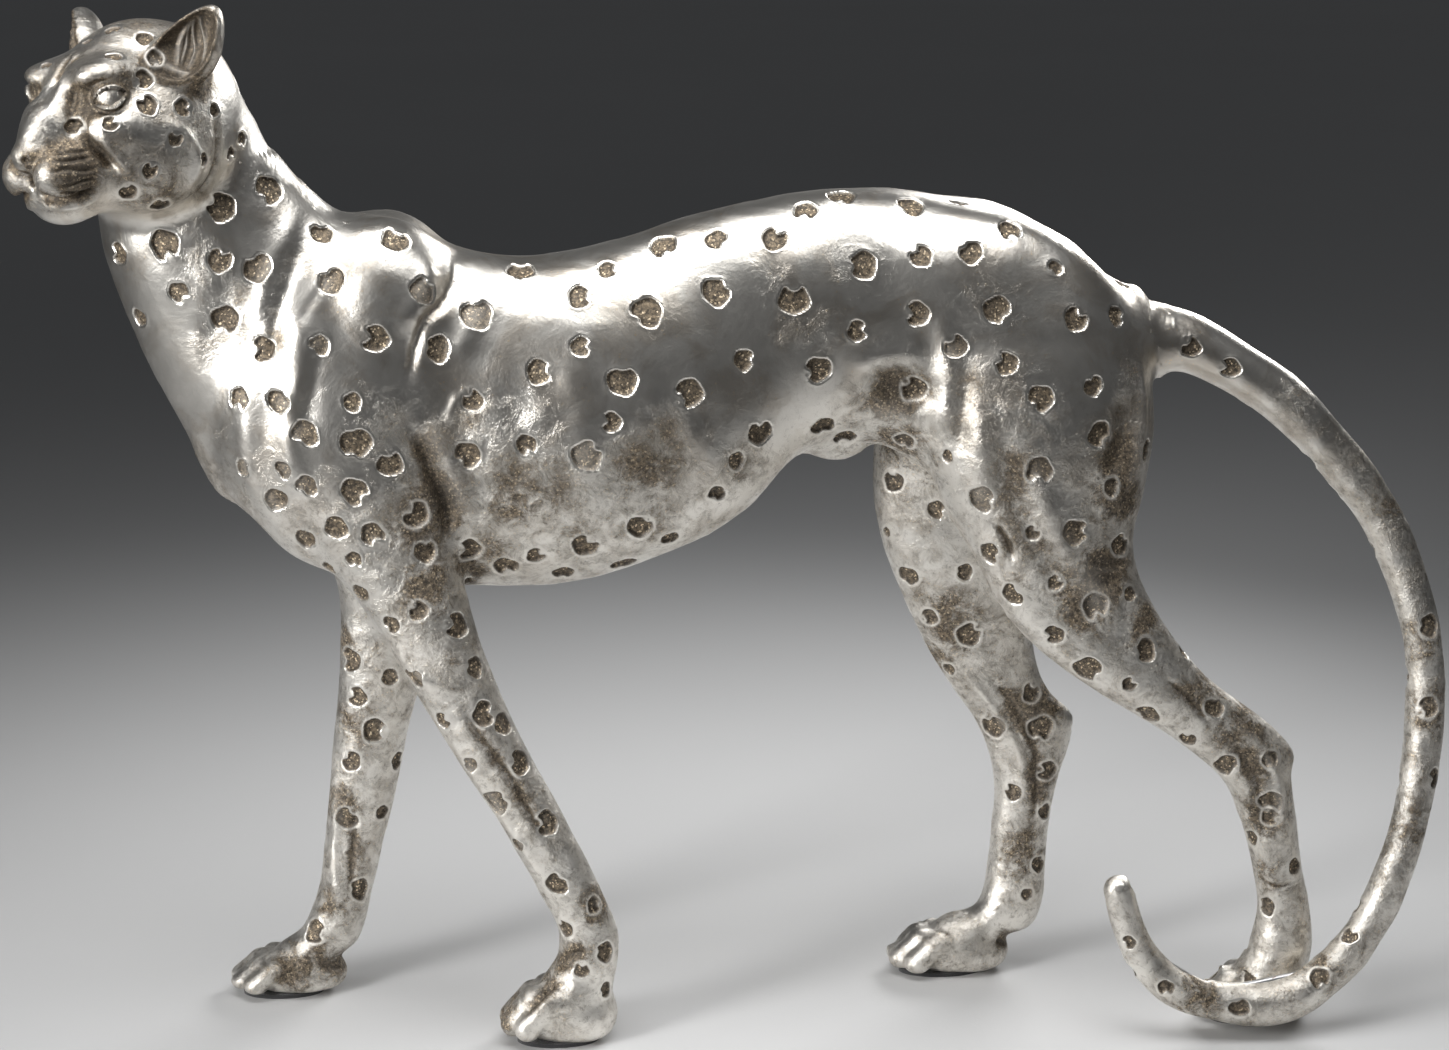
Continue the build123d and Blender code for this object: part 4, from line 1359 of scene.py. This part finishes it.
def silver_finish():
    """Old silver leaf: bright where rubbed, brown and sandy where sunk, with painted shade in creases and
    hollows, chalky low down.
    """
    paint = Paint("antique_silver")
    blots = paint.noise(24, 4, 0.6, 0.6)
    mottle = paint.noise(7, 6, 0.74, 0.5)
    specks = paint.noise(1.2, 4, 0.7)
    speckle = paint.noise(3.2, 6, 0.78, 0.3)
    grain = paint.grains(0.6)
    floor, rim, crease_patina_and_shade, pale, brown_mask = (paint.mask(name) for name in MASKS)

    age = paint.math("ADD", paint.total((pale, 0.42), (crease_patina_and_shade, 0.2), (brown_mask, 0.3)), 0.62)
    clouds = paint.math("MULTIPLY", paint.total((blots, 0.5), (mottle, 0.75)), age)
    # the crease mask brings brown patina and painted shade into the stain and haze
    sunk = paint.total((clouds, 1.0), (crease_patina_and_shade, 0.34), (floor, 0.5), (rim, -0.2), (brown_mask, 0.2))
    stain = paint.span(sunk, 0.64, 0.86)
    haze = paint.span(sunk, 0.46, 0.78)
    dusty = paint.total((pale, 0.75), (brown_mask, 0.5), (haze, 0.3))
    dust = paint.math("MULTIPLY", paint.span(speckle, 0.52, 0.66), dusty)
    chalk = paint.span(paint.total((pale, 0.5), (mottle, -0.6), (blots, 0.5), (specks, 0.3)), 0.36, 0.66)
    sparkle = paint.span(grain, 0.76, 0.88)
    dotted = paint.total((haze, 0.5), (crease_patina_and_shade, -0.4), (floor, 0.4), (brown_mask, -0.1))
    dots = paint.math("MULTIPLY", sparkle, dotted)
    glint = paint.math("MULTIPLY", paint.span(grain, 0.86, 0.94), paint.span(blots, 0.44, 0.6, 0.0, 0.7))
    dots = paint.math("MAXIMUM", dots, paint.math("SUBTRACT", glint, pale))
    tint = paint.math("MULTIPLY", paint.span(blots, 0.42, 0.62), 0.4)

    colour = paint.mix(tint, SILVER, BRONZE)
    colour = paint.mix(paint.math("MULTIPLY", haze, 0.85), colour, TARNISH)
    colour = paint.mix(paint.math("MULTIPLY", chalk, 0.7), colour, CHALK)
    brown = paint.mix(paint.span(specks, 0.36, 0.68), UMBER, SAND)
    # creases go darker towards umber: brown patina and painted shade
    brown = paint.mix(paint.math("MULTIPLY", crease_patina_and_shade, 0.6), brown, UMBER)
    brown = paint.mix(paint.span(brown_mask, 0.6, 1.0, 0.0, 0.6), brown, UMBER)
    colour = paint.mix(paint.math("MULTIPLY", dust, 0.75), colour, brown)
    colour = paint.mix(paint.math("MULTIPLY", stain, 0.88), colour, brown)
    colour = paint.mix(dots, colour, GOLD)
    colour = paint.mix(paint.math("MULTIPLY", rim, 0.6), colour, SILVER)

    metal = paint.math("ADD", paint.total((chalk, -0.4), (stain, -0.35)), 1.0)
    rough = paint.total((mottle, 0.1), (haze, 0.1), (stain, 0.14), (chalk, 0.14))
    rough = paint.math("ADD", rough, 0.26)
    paint.set(Base_Color=colour, Metallic=metal, Roughness=rough)
    paint.bumps(
        (blots, 0.3),
        (mottle, 0.14),
        (paint.math("MULTIPLY", specks, paint.math("ADD", haze, 0.2)), 0.16),
        (paint.math("MULTIPLY", grain, haze), 0.16),
    )
    return paint.material


def felt_finish():
    """Black felt with short stray fibres."""
    paint = Paint("black_felt")
    fibres = paint.noise(0.4, 4, 0.8, 2.0)
    tufts = paint.noise(3, 3)
    colour = paint.mix(fibres, (0.012, 0.012, 0.013, 1), (0.07, 0.07, 0.072, 1))
    paint.set(Base_Color=colour, Roughness=0.95, Sheen_Weight=0.4)
    paint.bumps((fibres, 0.25), (tufts, 0.2))
    return paint.material


def rod_finish():
    """Drawn steel with fine lines and a little rust bloom."""
    paint = Paint("drawn_steel")
    lines = paint.noise(0.3, 2, 0.5)
    bloom = paint.noise(6, 4, 0.65)
    rust = paint.span(bloom, 0.58, 0.72)
    colour = paint.mix(rust, (0.50, 0.50, 0.51, 1), (0.22, 0.11, 0.06, 1))
    metal = paint.span(rust, 0, 1, 1, 0.3)
    paint.set(Base_Color=colour, Metallic=metal, Roughness=paint.span(rust, 0, 1, 0.32, 0.7))
    paint.bumps((lines, 0.05), (bloom, 0.1))
    return paint.material


def floor_finish():
    """Pale matt paper."""
    paint = Paint("pale_paper")
    cloud = paint.noise(400, 2)
    tooth = paint.noise(1.5, 2)
    paint.set(Base_Color=paint.mix(cloud, (0.60, 0.60, 0.60, 1), (0.64, 0.64, 0.64, 1)), Roughness=0.85)
    paint.bumps((tooth, 0.05))
    return paint.material


# ---- studio ----
FLOOR_HALF = 6.0         # metres
WORLD_COLOUR = (0.75, 0.77, 0.8, 1)
WORLD_STRENGTH = 0.07
# name, place, width, depth, power, target, spread
LIGHTS = [
    ("overhead", (-60, -160, 760), 760, 420, 1.7, (-20, 10, 180), 100),
    ("left_front", (-820, -560, 420), 260, 520, 1.2, (-120, -20, 220), 60),
    ("rear", (500, 700, 600), 500, 300, 1.4, AIM, 90),
]


def to_world(place):
    """Animal frame in millimetres to the scene in metres."""
    return Vector((np.array(place, float) + (0, MIDLINE, 0)) * MM)


def look(thing, place, target):
    """Put a camera or a light at a place, turned to its target."""
    thing.location = to_world(place)
    thing.rotation_euler = (to_world(target) - to_world(place)).to_track_quat("-Z", "Y").to_euler()


def add_camera():
    """The photo's point of view."""
    data = bpy.data.cameras.new("camera")
    data.angle = radians(CAMERA_VIEW)
    data.clip_start = 0.05
    camera = bpy.data.objects.new("camera", data)
    bpy.context.scene.collection.objects.link(camera)
    look(camera, CAMERA_PLACE, AIM)
    bpy.context.scene.camera = camera


def add_softbox(name, place, width, depth, power, target, spread):
    """A flat rectangular light; sizes in millimetres, power in watts, spread in degrees."""
    data = bpy.data.lights.new(name, "AREA")
    data.shape = "RECTANGLE"
    data.size = width * MM
    data.size_y = depth * MM
    data.energy = power
    data.spread = radians(spread)
    light = bpy.data.objects.new(name, data)
    bpy.context.scene.collection.objects.link(light)
    look(light, place, target)
    return light


def add_floor():
    """A large plain floor, level with the felt pads."""
    half = FLOOR_HALF
    corners = [(-half, -half, 0), (half, -half, 0), (half, half, 0), (-half, half, 0)]
    mesh = bpy.data.meshes.new("floor")
    mesh.from_pydata(corners, [], [(0, 1, 2, 3)])
    floor = bpy.data.objects.new("floor", mesh)
    bpy.context.scene.collection.objects.link(floor)
    mesh.materials.append(floor_finish())


def add_world():
    """A faint even light from all round."""
    world = bpy.data.worlds.new("studio")
    world.use_nodes = True
    background = world.node_tree.nodes["Background"]
    background.inputs["Color"].default_value = WORLD_COLOUR
    background.inputs["Strength"].default_value = WORLD_STRENGTH
    bpy.context.scene.world = world


def add_lights():
    """The three softboxes, in the order of the table."""
    for light in LIGHTS:
        add_softbox(*light)


def dress_frame(silver, felt, steel):
    """Finishes for the CAD parts that stay in view or inside."""
    for name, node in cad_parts.items():
        finish = felt if name.endswith("pad") else silver if name == "belly_plug" else steel
        node.data.materials.clear()
        node.data.materials.append(finish)


def build():
    """Make every casting, mark it, hang it on the root body and hide the CAD node it replaces."""
    silver = silver_finish()
    bases = base_meshes()
    points = np.concatenate([base[1] for base in bases.values()])
    normals = np.concatenate([base[2] for base in bases.values()])
    seen = seen_spots()
    spots = seen + scattered_spots(seen, points, normals)
    strokes = all_strokes()
    stains = all_stains()
    for name, base in bases.items():
        piece = add_casting(name, *marked_mesh(name, base, spots, strokes, stains))
        piece.data.materials.append(silver)
        node = name.replace("_skin", "")
        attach(piece, "root")
        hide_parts(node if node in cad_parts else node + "_casting")
        print("piece", name, len(piece.data.polygons))
    dress_frame(silver, felt_finish(), rod_finish())


build()
add_floor()
add_world()
add_lights()
add_camera()
bpy.context.scene.view_settings.view_transform = "Standard"
